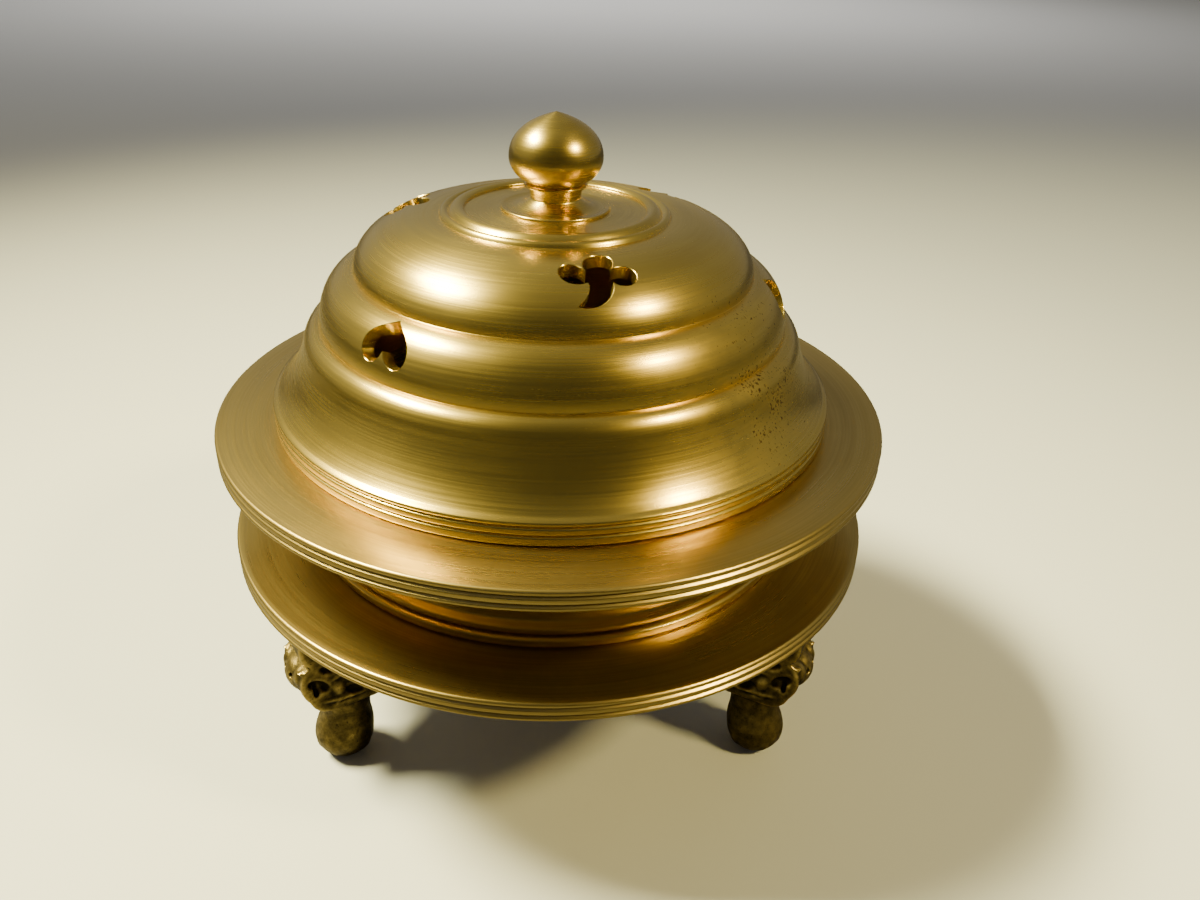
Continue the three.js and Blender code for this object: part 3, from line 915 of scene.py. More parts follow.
@dataclass(frozen=True)
class Flange:
    """The grooved edge of a flange."""

    radius: float
    top: float
    height: float
    groove: float = 0.5
    shoulder: float = 0.3
    lip_share: float = 0.2
    notch_share: float = 0.1

    @property
    def bottom(self) -> float:
        """The edge's lowest height."""
        return self.top - self.height

    def add_to(self, outline: Outline) -> Outline:
        """Adds the edge from its bottom to its top: a lip, a groove, a band, a groove and a lip.

        Args:
            outline: The outline to add to.

        Returns:
            The outline.
        """
        lip = self.height * self.lip_share
        notch = self.height * self.notch_share
        deep = self.radius - self.groove
        outline.to((deep, self.bottom), soft=0.2)
        outline.to((self.radius, self.bottom + self.shoulder), (self.radius, self.bottom + lip))
        outline.to((deep, self.bottom + lip + notch), soft=0.05)
        outline.to(
            (self.radius, self.bottom + lip + 2 * notch), (self.radius, self.top - lip - 2 * notch))
        outline.to((deep, self.top - lip - notch), soft=0.05)
        outline.to((self.radius, self.top - lip), (self.radius, self.top - self.shoulder))
        return outline.to((self.radius - self.shoulder, self.top), soft=0.2)


@dataclass
class Basin:
    """The flanged bowl that stands on the legs."""

    finishes = (FLANGE, RIM, BELLY, SHADED_INSIDE)
    top: float = from_frame("basin", Side.TOP)
    flange_radius: float = from_frame("basin", Side.REACH)
    rim_height: float = 3.6
    wall: float = 2.8
    lip: float = 1.2
    lip_polish: float = 0.9
    dish_drop: float = 1.2
    seat_edge: float = 47.4
    seat_inside: float = 39.4
    seat_bevel: float = 0.5
    depth: float = 24.5
    floor_radius: float = 28.0
    floor_inset: float = 1.0
    swell: float = 3.4
    inner_swell: float = 1.8
    neck_height: float = 6.5
    neck_flare: float = 1.0
    taper: float = 1.4
    flange_slope: float = 1.0
    straight_wall_bottom: float = 28.1
    screw_bottom: float = from_frame("leg_rear_screw", Side.BOTTOM)
    screw_top: float = from_frame("leg_rear_screw", Side.TOP)
    screw_hole: float = 1.8
    drill_length: float = 14.0

    @property
    def seat(self) -> float:
        """The height of the face that the ring stands on."""
        return self.top - self.dish_drop

    @property
    def screw_height(self) -> float:
        """The height of the leg screws' axes."""
        return (self.screw_bottom + self.screw_top) / 2

    def underside(self, gap: float = 0.0) -> Outline:
        """Draws the underside from the middle of the floor out to the flange.

        Args:
            gap: How far outside the basin the outline runs.

        Returns:
            The outline.
        """
        floor = self.top - self.depth - self.wall - gap
        neck = self.top - self.rim_height - self.flange_slope - gap
        neck_radius = self.seat_inside + self.wall + self.taper + gap
        outline = Outline(0, floor).to((self.floor_radius + gap, floor), soft=2.5)
        outline.arc(neck_radius, neck - self.neck_height, self.swell, soft=0.8)
        return outline.arc(neck_radius + self.neck_flare, neck, self.neck_flare * 0.4, 8, 0.8)

    def room(self, gap: float) -> Form:
        """Builds the space that the basin takes.

        Args:
            gap: The gap round it.

        Returns:
            The space, filled up to the basin's top.
        """
        outline = self.underside(gap)
        edge = self.top - self.rim_height - gap
        outline.to((self.flange_radius, edge), (self.flange_radius, self.top), (0, self.top), soft=0)
        return outline.turned(TURNING_STEPS // 2, closed=False)

    def screw_cutter(self, azimuth: float) -> Form:
        """Builds the hole for one leg's screw.

        Args:
            azimuth: Where the leg stands, in degrees.

        Returns:
            The hole's form.
        """
        made = rod(self.screw_hole, self.drill_length, 32)
        made.transform(lying_at(azimuth, self.seat_inside, self.screw_height))
        return made

    def finish_at(self, radius: float, height: float) -> Finish:
        """Chooses the finish for a place on the basin.

        Args:
            radius: The place's distance from the axis.
            height: Its height.

        Returns:
            The finish.
        """
        rim_bottom = self.top - self.rim_height - 2 * MARGIN
        if radius > self.flange_radius - self.lip * self.lip_polish and height > rim_bottom:
            return RIM
        if height > self.seat - MARGIN and radius > self.seat_inside - 2 * MARGIN:
            return FLANGE
        if radius < self.seat_inside and height > self.top - self.depth - MARGIN:
            return SHADED_INSIDE
        return BELLY

    def build(self) -> None:
        """Turns the basin, drills it and dresses it."""
        outline = Flange(self.flange_radius, self.top, self.rim_height).add_to(self.underside())
        outline.to((self.flange_radius - self.lip, self.top), soft=0.3)
        outline.to((self.seat_edge, self.seat), soft=1.2)
        outline.to((self.seat_inside, self.seat), soft=0.15)
        bore = self.seat_inside - self.seat_bevel
        outline.to((bore, self.seat - self.seat_bevel), soft=0.2)
        outline.to((bore, self.straight_wall_bottom), soft=0.0)
        floor = self.top - self.depth
        outline.arc(self.floor_radius - self.floor_inset, floor, -self.inner_swell, soft=3.0)
        outline.to((0, floor), soft=0)
        form = outline.turned(closed=False)
        paint(form, self.finishes, self.finish_at)
        cutter = join("screw_holes", [self.screw_cutter(azimuth) for azimuth in LEG_AZIMUTHS.values()])
        mesh = Bench("basin", as_mesh("basin", form)).carve(cutter).take()
        deliver(Ticket("turned_basin", "basin", Body.BASE, Slot.TURNED), mesh, self.finishes)


@dataclass
class MiddleRing:
    """The flanged ring that stands in the basin and carries the lid."""

    finishes = (FLANGE, RIM, BELLY, SHADED_INSIDE)
    seat: float = from_frame("middle_ring", Side.BOTTOM)
    top: float = from_frame("middle_ring", Side.TOP)
    flange_radius: float = from_frame("middle_ring", Side.REACH)
    rim_height: float = 3.7
    foot_radius: float = 46.0
    foot_beads: Pair = (1.9, 1.5)
    foot_step: float = 0.9
    groove: float = 0.5
    shoulder: float = 0.3
    wall: float = 2.6
    waist_inset: float = 2.2
    waist_swell: float = 1.2
    flare: float = 3.0
    flare_height: float = 1.6
    flare_swell: float = 0.6
    mouth_radius: float = 44.6
    mouth_depth: float = 4.5
    rim_polish: float = 1.0
    face_polish: float = 0.15
    foot_polish: float = 1.9

    def finish_at(self, radius: float, height: float) -> Finish:
        """Chooses the finish for a place on the ring.

        Args:
            radius: The place's distance from the axis.
            height: Its height.

        Returns:
            The finish.
        """
        if radius > self.flange_radius - self.rim_polish:
            return RIM
        if height > self.top - self.face_polish:
            return FLANGE
        foot_top = self.seat + sum(self.foot_beads) + 2 * MARGIN
        if height < foot_top and radius > self.foot_radius - self.foot_polish:
            return RIM
        if radius < self.mouth_radius + MARGIN and self._inside(radius, height):
            return SHADED_INSIDE
        return BELLY

    def _inside(self, radius: float, height: float) -> bool:
        """Tells whether a place is on the inner wall.

        Args:
            radius: The place's distance from the axis.
            height: Its height.

        Returns:
            Whether it is nearer to the inner wall, or in the mouth.
        """
        share = (height - self.seat) / (self.top - self.seat)
        waist = self.foot_radius - self.waist_inset
        middle = waist - self.wall / 2 + (self.mouth_radius - waist + self.wall / 2) * share
        return radius < middle or height > self.top - self.mouth_depth

    def build(self) -> None:
        """Turns the ring and dresses it."""
        rim = Flange(self.flange_radius, self.top, self.rim_height)
        waist = self.foot_radius - self.waist_inset
        inner_foot = waist - self.wall
        low, high = self.foot_beads
        bead_top = self.seat + low + high
        outline = Outline(inner_foot, self.seat)
        outline.beads(self.foot_radius, self.seat, [low], self.groove, self.shoulder)
        outline.beads(self.foot_radius - self.foot_step, self.seat + low, [high], self.groove, self.shoulder)
        outline.to((waist, bead_top + self.groove), soft=0.3)
        throat = self.mouth_radius + self.wall
        outline.arc(throat, rim.bottom - self.flare_height, -self.waist_swell, soft=0.4)
        outline.arc(throat + self.flare, rim.bottom, -self.flare_swell, 8, 0.3)
        rim.add_to(outline)
        outline.to((self.mouth_radius, self.top), soft=0.25)
        outline.to((self.mouth_radius, self.top - self.mouth_depth), soft=0.3)
        outline.arc(inner_foot, bead_top, self.waist_swell, soft=0.2)
        form = outline.turned()
        paint(form, self.finishes, self.finish_at)
        mesh = as_mesh("middle_ring", form)
        deliver(Ticket("turned_ring", "middle_ring", Body.RING, Slot.TURNED), mesh, self.finishes)


class Tier:
    """A tier of the lid: a quarter ellipse, upright at its foot and level at its top."""

    probe = 0.002

    def __init__(self, foot: Pair, top: Pair, samples: int = 240) -> None:
        """Measures the tier along its surface.

        Args:
            foot: The radius and height of its foot.
            top: The radius and height of its top.
            samples: How many stretches it is measured in.
        """
        self.foot = foot
        self.top = top
        self.lengths = [0.0]
        spots = [self.spot(step / samples) for step in range(samples + 1)]
        for first, second in zip(spots, spots[1:]):
            self.lengths.append(self.lengths[-1] + (second - first).length)

    def spot(self, share: float) -> Vector:
        """Finds a point of the tier.

        Args:
            share: The share of the quarter turn, from the foot.

        Returns:
            The radius and height there.
        """
        turn = share * math.pi / 2
        wide = self.foot[0] - self.top[0]
        high = self.top[1] - self.foot[1]
        return Vector((self.top[0] + wide * math.cos(turn), self.foot[1] + high * math.sin(turn)))

    def spots(self, steps: int) -> list[Pair]:
        """Gives evenly turned points from the foot to the top."""
        return [tuple(self.spot(step / steps)) for step in range(steps + 1)]

    def at(self, along: float) -> tuple[Vector, Vector]:
        """Finds a place by its distance along the surface.

        Args:
            along: The distance from the foot.

        Returns:
            The radius and height there, and the way that the surface faces.
        """
        index = min(bisect_left(self.lengths, along), len(self.lengths) - 1)
        samples = len(self.lengths) - 1
        span = self.lengths[index] - self.lengths[index - 1]
        share = (index - 1 + (along - self.lengths[index - 1]) / span) / samples
        climb = self.spot(share + self.probe) - self.spot(share - self.probe)
        return self.spot(share), Vector((climb.y, -climb.x)).normalized()


@dataclass(frozen=True)
class Vent:
    """A pierced shape, one unit wide, and its place: x goes round the lid, y climbs the tier."""

    name: str
    start: Pair
    curves: tuple[tuple[Pair, Pair, Pair], ...]
    width: float
    azimuth: float
    along: float

    def outline(self, steps: int = 9) -> list[Vector]:
        """Draws the shape at its real width.

        Args:
            steps: How many stretches each curve has.

        Returns:
            The points in order.
        """
        spots = [Vector((*self.start, 0))]
        for first, second, end in self.curves:
            knots = [spots[-1], *(Vector((*pair, 0)) for pair in (first, second, end))]
            spots.extend(interpolate_bezier(*knots, steps + 1)[1:])
        return [spot * self.width for spot in spots[:-1]]


HEART = Vent(
    "heart", (0.0, 0.415),
    (((-0.1, 0.28), (-0.5, 0.14), (-0.5, -0.16)),
     ((-0.5, -0.46), (-0.13, -0.52), (0.0, -0.17)),
     ((0.13, -0.52), (0.5, -0.46), (0.5, -0.16)),
     ((0.5, 0.14), (0.1, 0.28), (0.0, 0.415))),
    width=9.4, azimuth=-130.7, along=6.7)
CLOUD = Vent(
    "cloud", (-0.34, -0.45),
    (((-0.12, -0.54), (0.17, -0.38), (0.17, -0.12)),
     ((0.28, -0.24), (0.52, -0.22), (0.51, -0.04)),
     ((0.5, 0.13), (0.33, 0.2), (0.2, 0.12)),
     ((0.34, 0.36), (0.2, 0.47), (0.09, 0.47)),
     ((-0.06, 0.47), (-0.19, 0.32), (-0.14, 0.1)),
     ((-0.2, 0.35), (-0.49, 0.3), (-0.49, 0.08)),
     ((-0.49, -0.1), (-0.3, -0.16), (-0.15, -0.09)),
     ((-0.12, -0.2), (-0.2, -0.34), (-0.34, -0.45))),
    width=11.8, azimuth=-77.6, along=10.3)


def eased(spots: Sequence[Vector], reach: float) -> list[Vector]:
    """Moves an outline outward, less where it would run into itself.

    Args:
        spots: A closed outline, against the clock.
        reach: How far to move it.

    Returns:
        The moved points.
    """
    made = []
    least = reach / 16
    clear = 0.9
    for index, spot in enumerate(spots):
        along = spots[(index + 1) % len(spots)] - spots[index - 1]
        outward = Vector((along.y, -along.x, 0)).normalized()
        step = reach
        while step > least and min((spot + outward * step - other).length for other in spots) < step * clear:
            step /= 2
        made.append(spot + outward * step)
    return made


@dataclass
class Lid:
    """The tiered, pierced lid."""

    finishes = (DOME, RIM, SHADED_INSIDE, SHADED_VENT_WALL)
    bottom: float = from_frame("middle_ring", Side.TOP)
    foot_radius: float = from_frame("lid", Side.REACH)
    foot_beads: Sequence[float] = (1.8, 1.5, 1.1)
    foot_height: float = 4.6
    groove: float = 0.5
    shoulder: float = 0.3
    wall: float = 1.7
    spigot_radius: float = 44.0
    spigot_bottom: float = from_frame("lid", Side.BOTTOM)
    spigot_wall: float = 2.0
    lip_radius: float = 49.1
    lip_slope: float = math.radians(42)
    flare_join: float = 1.5
    low_wall: Pair = (44.0, 12.6)
    low_crease: Pair = (40.9, 16.85)
    high_crease: Pair = (34.6, 25.6)
    crown: Pair = (20.3, 34.5)
    crown_groove: float = 18.1
    crown_bead: float = 0.6
    disc_radius: float = 15.5
    disc_height: float = 35.1
    disc_rise: float = 0.2
    knob_seat_radius: float = 9.66
    stud_hole: float = 2.3
    vents_per_row: int = 3
    cut_depth: float = 3.2
    cut_rise: float = 0.4
    cut_bevel: float = 0.08
    foot_polish: float = 1.0
    curve_steps: int = 26
    tiers: list[Tier] = field(init=False)

    def __post_init__(self) -> None:
        """Works out the rounded stretches of the three tiers."""
        feet = [self.low_wall, self.low_crease, self.high_crease, self.crown]
        levels = [(radius, self.bottom + height) for radius, height in feet]
        self.tiers = [Tier(foot, top) for foot, top in zip(levels, levels[1:])]

    @property
    def knob_seat(self) -> float:
        """The height of the face that the knob stands on."""
        return self.bottom + self.disc_height + self.disc_rise

    def outside(self) -> Outline:
        """Draws the outside from the foot to the seat of the knob.

        Returns:
            The outline.
        """
        outline = Outline(self.spigot_radius, self.bottom)
        outline.beads(self.foot_radius, self.bottom, self.foot_beads, self.groove, self.shoulder)
        lip = Vector((self.lip_radius, self.bottom + self.foot_height))
        outline.to(tuple(lip), soft=0.15)
        low = self.tiers[0]
        join, facing = low.at(self.flare_join)
        inward = Vector((-math.cos(self.lip_slope), math.sin(self.lip_slope)))
        drop = (lip - join).dot(Vector((inward.y, -inward.x))) / facing.dot(inward)
        bend = join + Vector((facing.y, -facing.x)) * drop
        handles = [tuple(end.lerp(bend, 2 / 3)) for end in (lip, join)]
        outline.bezier(*handles, tuple(join), self.curve_steps)
        outline.follow([spot for spot in low.spots(2 * self.curve_steps) if spot[1] > join.y], soft=0.1)
        for tier in self.tiers[1:]:
            outline.follow(tier.spots(self.curve_steps)[1:], soft=0.1)
        crown = self.bottom + self.crown[1]
        outline.to((self.crown[0] - self.groove, crown), soft=0.05)
        outline.arc(self.crown_groove, crown + self.groove, self.crown_bead, 8, soft=0.04)
        outline.arc(self.disc_radius, crown + 2 * self.groove, self.crown_bead, 8, soft=0.2)
        disc = self.bottom + self.disc_height
        outline.to((self.disc_radius, disc), soft=0.1)
        outline.to((self.knob_seat_radius, self.knob_seat), soft=0.4)
        return outline.to((self.stud_hole, self.knob_seat), soft=0.1)

    def inside(self, outline: Outline) -> Outline:
        """Adds the inside, from the stud hole down to the spigot.

        Args:
            outline: The outline of the outside.

        Returns:
            The whole outline.
        """
        outline.to((self.stud_hole, self.bottom + self.crown[1] - self.wall), soft=0.1)
        for tier in reversed(self.tiers):
            spots = [(radius - self.wall, height - self.wall) for radius, height in tier.spots(12)]
            outline.follow(spots[:0:-1])
        outline.to((self.low_wall[0] - self.wall, self.bottom + self.low_wall[1] - self.wall), soft=0)
        bore = self.spigot_radius - self.spigot_wall
        outline.to((bore, self.bottom + self.foot_height), soft=0.3)
        return outline.to((bore, self.spigot_bottom), (self.spigot_radius, self.spigot_bottom), soft=0.25)

    def vent_cutter(self, vent: Vent, tier: Tier, azimuth: float) -> Form:
        """Builds a cutter with a bevelled mouth, wrapped on its tier.

        Args:
            vent: The shape to cut.
            tier: The tier that it cuts.
            azimuth: Where it stands, in degrees.

        Returns:
            The cutter.
        """
        made = bmesh.new()
        narrow = vent.outline()
        wide = eased(narrow, 2 * self.cut_bevel)
        ring = [made.verts.new(spot - AXIS * self.cut_depth) for spot in reversed(narrow)]
        made.faces.new(ring)
        rim = list(made.edges)
        levels = [(narrow, -self.cut_bevel), (wide, self.cut_bevel), (wide, self.cut_depth * self.cut_rise)]
        for shape, height in levels:
            before = [corner.co.copy() for corner in ring]
            pulled = bmesh.ops.extrude_edge_only(made, edges=rim)["geom"]
            fresh = only(pulled, Corner)
            rim = only(pulled, Edge)
            ring = [min(fresh, key=lambda corner: (corner.co - spot).length) for spot in before]
            for corner, target in zip(ring, reversed(shape)):
                corner.co = target + AXIS * height
        made.faces.new(ring)
        bmesh.ops.triangulate(made, faces=[face for face in made.faces if len(face.verts) > 4])
        bmesh.ops.recalc_face_normals(made, faces=made.faces)
        for corner in made.verts:
            place, facing = tier.at(vent.along + corner.co.y)
            where = place + facing * corner.co.z
            turn = math.radians(azimuth) + corner.co.x / place.x
            corner.co = Vector((where.x * math.cos(turn), where.x * math.sin(turn), where.y))
        # The cut's walls take the near-black painted shade.
        for face in made.faces:
            face.material_index = self.finishes.index(SHADED_VENT_WALL)
        return made

    def finish_at(self, radius: float, height: float) -> Finish:
        """Chooses the finish for a place on the lid.

        Args:
            radius: The place's distance from the axis.
            height: Its height.

        Returns:
            The finish.
        """
        level = height - self.bottom
        if level < -MARGIN / 2:
            return SHADED_INSIDE
        if level < self.foot_height and radius > self.foot_radius - self.foot_polish:
            return RIM
        if level < self.low_wall[1]:
            return DOME if radius > self.low_wall[0] - self.wall / 2 else SHADED_INSIDE
        tier = next((tier for tier in self.tiers if height <= tier.top[1]), self.tiers[-1])
        wide = max(0.0, 1 - ((height - tier.foot[1]) / (tier.top[1] - tier.foot[1])) ** 2)
        surface = tier.top[0] + (tier.foot[0] - tier.top[0]) * math.sqrt(min(1.0, wide))
        if height > self.bottom + self.crown[1] - self.wall * 0.6:
            return DOME
        return DOME if radius > surface - self.wall / 2 else SHADED_INSIDE

    def build(self) -> None:
        """Turns the lid, pierces it and dresses it."""
        form = self.inside(self.outside()).turned()
        paint(form, self.finishes, self.finish_at)
        bench = Bench("lid", as_mesh("lid", form))
        for vent, tier in ((CLOUD, self.tiers[2]), (HEART, self.tiers[1])):
            turns = [vent.azimuth + 360 / self.vents_per_row * i for i in range(self.vents_per_row)]
            bench.carve(join(vent.name, [self.vent_cutter(vent, tier, turn) for turn in turns]))
        mesh = bench.take()
        deliver(Ticket("pierced_lid", "lid", Body.LID, Slot.TURNED), mesh, self.finishes)


@dataclass
class Knob:
    """The jewel-shaped knob with the washer and the nut that hold its stud."""

    lid: Lid
    top: float = from_frame("lid_knob", Side.TOP)
    radius: float = 7.9
    widest: float = 8.5
    point_pull: float = 4.2
    point_drop: float = 1.2
    base_radius: float = from_frame("lid_knob", Side.REACH)
    base_thickness: float = 0.5
    base_taper: float = 0.12
    neck_radius: float = 4.2
    neck_height: float = 1.9
    neck_hollow: float = 0.8
    neck_flare: float = 0.35
    collar_radius: float = 5.4
    collar_height: float = 4.2
    collar_thickness: float = 0.6
    ball_foot: float = 4.9
    groove: float = 0.5
    stud_radius: float = 2.0
    stud_end: float = from_frame("lid_knob", Side.BOTTOM)
    washer_bottom: float = from_frame("knob_washer", Side.BOTTOM)
    washer_top: float = from_frame("knob_washer", Side.TOP)
    washer_radius: float = from_frame("knob_washer", Side.REACH)
    hole_radius: float = 2.3
    nut_bottom: float = from_frame("knob_nut", Side.BOTTOM)
    nut_top: float = from_frame("knob_nut", Side.TOP)
    nut_radius: float = from_frame("knob_nut", Side.REACH)
    nut_softening: float = 0.25
    drill_length: float = 8.0

    @property
    def seat(self) -> float:
        """The height of the lid's face under the knob."""
        return self.lid.knob_seat

    def build_knob(self) -> None:
        """Turns the knob with its base and stud."""
        collar = self.seat + self.collar_height
        outline = Outline(0, self.stud_end)
        outline.to((self.stud_radius, self.stud_end), (self.stud_radius, self.seat), soft=0.2)
        outline.to((self.base_radius, self.seat), soft=0.05)
        outline.to((self.base_radius - self.base_taper, self.seat + self.base_thickness), soft=0.18)
        outline.arc(self.neck_radius, self.seat + self.neck_height, -self.neck_hollow, soft=0.5)
        flared = self.neck_radius + self.neck_flare
        outline.to((flared, collar - self.collar_thickness), soft=0.1)
        outline.to((self.collar_radius, collar - self.collar_thickness * 0.6), soft=0.1)
        outline.to((self.collar_radius, collar), soft=0.12)
        outline.to((self.ball_foot, collar + self.groove * 0.5), soft=0.05)
        foot = collar + self.groove
        rise = self.widest - self.collar_height - self.groove
        outline.to((self.ball_foot, foot), soft=0)
        outline.bezier(
            (self.ball_foot + rise * 0.3, foot), (self.radius, foot + rise * 0.5),
            (self.radius, self.seat + self.widest))
        crown = self.top - self.seat - self.widest
        outline.bezier(
            (self.radius, self.seat + self.widest + crown * 0.56),
            (self.point_pull, self.top - self.point_drop), (0, self.top), 28)
        mesh = as_mesh("knob", outline.turned(120, closed=False))
        deliver(Ticket("jewel_knob", "lid_knob", Body.LID, Slot.POLISHED), mesh, (KNOB,))

    def build_washer(self) -> None:
        """Turns the washer."""
        outline = Outline(self.hole_radius, self.washer_bottom)
        outline.to((self.washer_radius, self.washer_bottom), (self.washer_radius, self.washer_top))
        outline.to((self.hole_radius, self.washer_top))
        mesh = as_mesh("washer", outline.turned(SMALL_TURNING_STEPS))
        deliver(Ticket("stud_washer", "knob_washer", Body.LID, Slot.DULL), mesh, (FASTENER,))

    def build_nut(self) -> None:
        """Makes the hexagonal nut, with softened edges and its hole."""
        form = rod(self.nut_radius, self.nut_top - self.nut_bottom, 6)
        bmesh.ops.bevel(
            form, geom=form.edges[:], offset=self.nut_softening, offset_type="OFFSET", segments=3,
            profile=0.5, affect="EDGES", material=-1)
        form.transform(Matrix.Translation(AXIS * (self.nut_bottom + self.nut_top) / 2))
        hole = rod(self.hole_radius, self.drill_length, 48)
        hole.transform(Matrix.Translation(AXIS * self.nut_bottom))
        mesh = Bench("nut", as_mesh("nut", form)).carve(as_mesh("hole", hole)).take()
        deliver(Ticket("stud_nut", "knob_nut", Body.LID, Slot.DULL), mesh, (FASTENER,))

    def build(self) -> None:
        """Makes the knob and what holds it."""
        self.build_knob()
        self.build_washer()
        self.build_nut()


@dataclass(frozen=True)
class Lump:
    """An egg-shaped swelling or hollow on a leg: its middle, its size, and how far it is tipped outward."""

    out: float
    side: float
    up: float
    length: float
    width: float
    height: float
    tip: float = 0.0

    def forms(self) -> list[Form]:
        """Builds the egg, and its twin on the other side.

        Returns:
            One or two eggs.
        """
        made = []
        for side in (1, -1) if self.side else (0,):
            egg = bmesh.new()
            bmesh.ops.create_uvsphere(egg, u_segments=24, v_segments=16, radius=0.5)
            shape = Matrix.Diagonal((self.length, self.width, self.height, 1))
            place = Matrix.Translation((self.out, side * self.side, self.up))
            egg.transform(place @ Matrix.Rotation(math.radians(-self.tip), 4, "Y") @ shape)
            made.append(egg)
        return made


@dataclass
class BeastLeg:
    """A cast leg: a beast's head over a round paw. Out is away from the basin's axis."""

    basin: Basin
    radius: float = 46.8
    gap: float = 0.3
    voxel: float = 0.24
    head_width: float = 10.4
    head_rounding: float = 2.5
    back: float = -10.6
    top: float = from_frame("leg_rear", Side.TOP)
    nape: Pair = (-10.6, 18.1)
    throat: Pair = (-3.6, 15.0)
    throat_front: Pair = (2.6, 15.0)
    chin: Pair = (6.9, 18.5)
    snout: Pair = (8.2, 22.3)
    notch: Pair = (6.0, 26.6)
    horn: Pair = (7.7, 30.6)
    crown_reach: float = 1.5
    pull: float = 1.0
    foot_radius: float = 5.6
    foot_flat: float = 2.3
    foot_widest: float = 5.2
    neck_radius: float = 4.5
    neck_setback: float = 1.0
    neck_bottom: float = 11.5
    neck_top: float = 15.0
    sole_trim: float = 0.02
    smoothings: int = 5
    relief_scales: Sequence[tuple[int, float]] = ((6, 0.12), (40, 0.55))
    swellings: Sequence[Lump] = (
        Lump(6.0, 0.0, 22.6, 6.8, 9.4, 7.0),
        Lump(6.6, 2.9, 23.5, 4.4, 3.6, 5.0),
        Lump(5.8, 4.2, 24.5, 5.6, 1.8, 1.3, 28.0),
        Lump(1.4, 4.7, 22.9, 4.4, 1.7, 1.2, -22.0),
        Lump(1.5, 4.3, 20.1, 3.0, 3.2, 4.6, -15.0),
        Lump(0.8, 2.6, 17.4, 9.2, 6.2, 4.6),
        Lump(0.4, 4.9, 17.6, 10.2, 1.7, 1.0, 5.0),
        Lump(0.6, 4.4, 16.1, 8.8, 2.0, 1.0, 4.0),
        Lump(-4.8, 4.0, 23.6, 7.0, 5.4, 8.6),
        Lump(-2.4, 5.2, 22.2, 3.2, 2.0, 4.4, 30.0),
        Lump(-5.8, 5.1, 19.6, 4.2, 2.2, 3.2, -25.0),
        Lump(1.8, 3.5, 29.0, 6.4, 4.4, 4.2, 12.0),
        Lump(-1.8, 4.0, 31.5, 8.0, 5.4, 7.0),
        Lump(5.2, 1.8, 32.2, 4.8, 4.4, 4.6, -8.0),
    )
    hollows: Sequence[Lump] = (
        Lump(5.0, 5.7, 21.9, 5.2, 3.2, 2.5, 40.0),
        Lump(5.5, 5.0, 21.2, 1.1, 2.4, 3.6, 6.0),
        Lump(-1.4, 5.9, 18.6, 4.4, 3.0, 2.3, 26.0),
        Lump(2.7, 5.8, 25.0, 4.8, 2.8, 2.3, 18.0),
        Lump(-1.9, 6.0, 26.6, 1.8, 2.6, 5.0, -14.0),
        Lump(0.4, 5.6, 16.8, 10.2, 1.4, 0.6, 5.0),
        Lump(7.3, 0.0, 18.9, 3.2, 8.0, 1.1, 12.0),
        Lump(8.7, 1.5, 23.6, 1.4, 1.2, 1.1),
        Lump(8.4, 0.0, 27.8, 4.6, 11.0, 1.9, 6.0),
    )
    toes: Sequence[Lump] = (
        Lump(3.0, 0.0, 4.8, 5.2, 3.8, 7.0, 8.0),
        Lump(1.9, 2.8, 4.8, 5.2, 3.7, 7.0, 6.0),
        Lump(-1.6, 3.1, 4.9, 5.0, 4.4, 7.2),
    )

    def head_block(self) -> Form:
        """Builds the head's block from its side outline.

        Returns:
            The block, rounded at both faces.
        """
        spots = [Vector((*self.nape, 0))]
        corner = Vector((self.back, self.throat[1], 0))
        bows = (
            (corner, self.throat),
            (None, self.throat_front),
            (Vector((self.chin[0] - self.pull, self.throat[1], 0)), self.chin),
            (Vector((self.snout[0], (self.chin[1] + self.snout[1]) / 2, 0)), self.snout),
            (Vector((self.snout[0], self.notch[1] - self.pull, 0)), self.notch),
            (Vector((self.horn[0], self.notch[1] + self.pull, 0)), self.horn),
            (Vector((self.horn[0], self.top, 0)), (self.crown_reach, self.top)),
            (None, (self.back, self.top)),
        )
        for handle, end in bows:
            start = spots[-1]
            finish = Vector((*end, 0))
            if handle is None:
                spots.append(finish)
                continue
            first = start.lerp(handle, 2 / 3)
            second = finish.lerp(handle, 2 / 3)
            spots.extend(interpolate_bezier(start, first, second, finish, 9)[1:])
        made = bmesh.new()
        half = self.head_width / 2
        flat = made.faces.new([made.verts.new((spot.x, -half, spot.y)) for spot in spots])
        pulled = bmesh.ops.extrude_face_region(made, geom=[flat])["geom"]
        bmesh.ops.translate(made, vec=(0, self.head_width, 0), verts=only(pulled, Corner))
        bmesh.ops.recalc_face_normals(made, faces=made.faces)
        rims = [edge for edge in made.edges if edge.verts[0].co.y == edge.verts[1].co.y]
        bmesh.ops.bevel(
            made, geom=rims, offset=self.head_rounding, offset_type="OFFSET", segments=4, profile=0.5,
            affect="EDGES", material=-1, clamp_overlap=True)
        return made

    def paw_form(self) -> Form:
        """Builds the paw, which draws in to the neck above it and leans back with it.

        Returns:
            The egg-shaped paw with its neck.
        """
        outline = Outline(0, 0).to((self.foot_flat, 0), soft=0.4)
        outline.arc(self.foot_radius, self.foot_widest, 0.9, 12, soft=0)
        climb = (self.neck_bottom - self.foot_widest) / 2
        outline.bezier(
            (self.foot_radius, self.foot_widest + climb), (self.neck_radius, self.neck_bottom - climb * 0.7),
            (self.neck_radius, self.neck_bottom))
        outline.to((self.neck_radius, self.neck_top), (0, self.neck_top), soft=0)
        made = outline.turned(SMALL_TURNING_STEPS, closed=False)
        for corner in made.verts:
            share = (corner.co.z - self.foot_widest) / (self.neck_bottom - self.foot_widest)
            corner.co.x -= self.neck_setback * min(1.0, max(0.0, share))
        return made

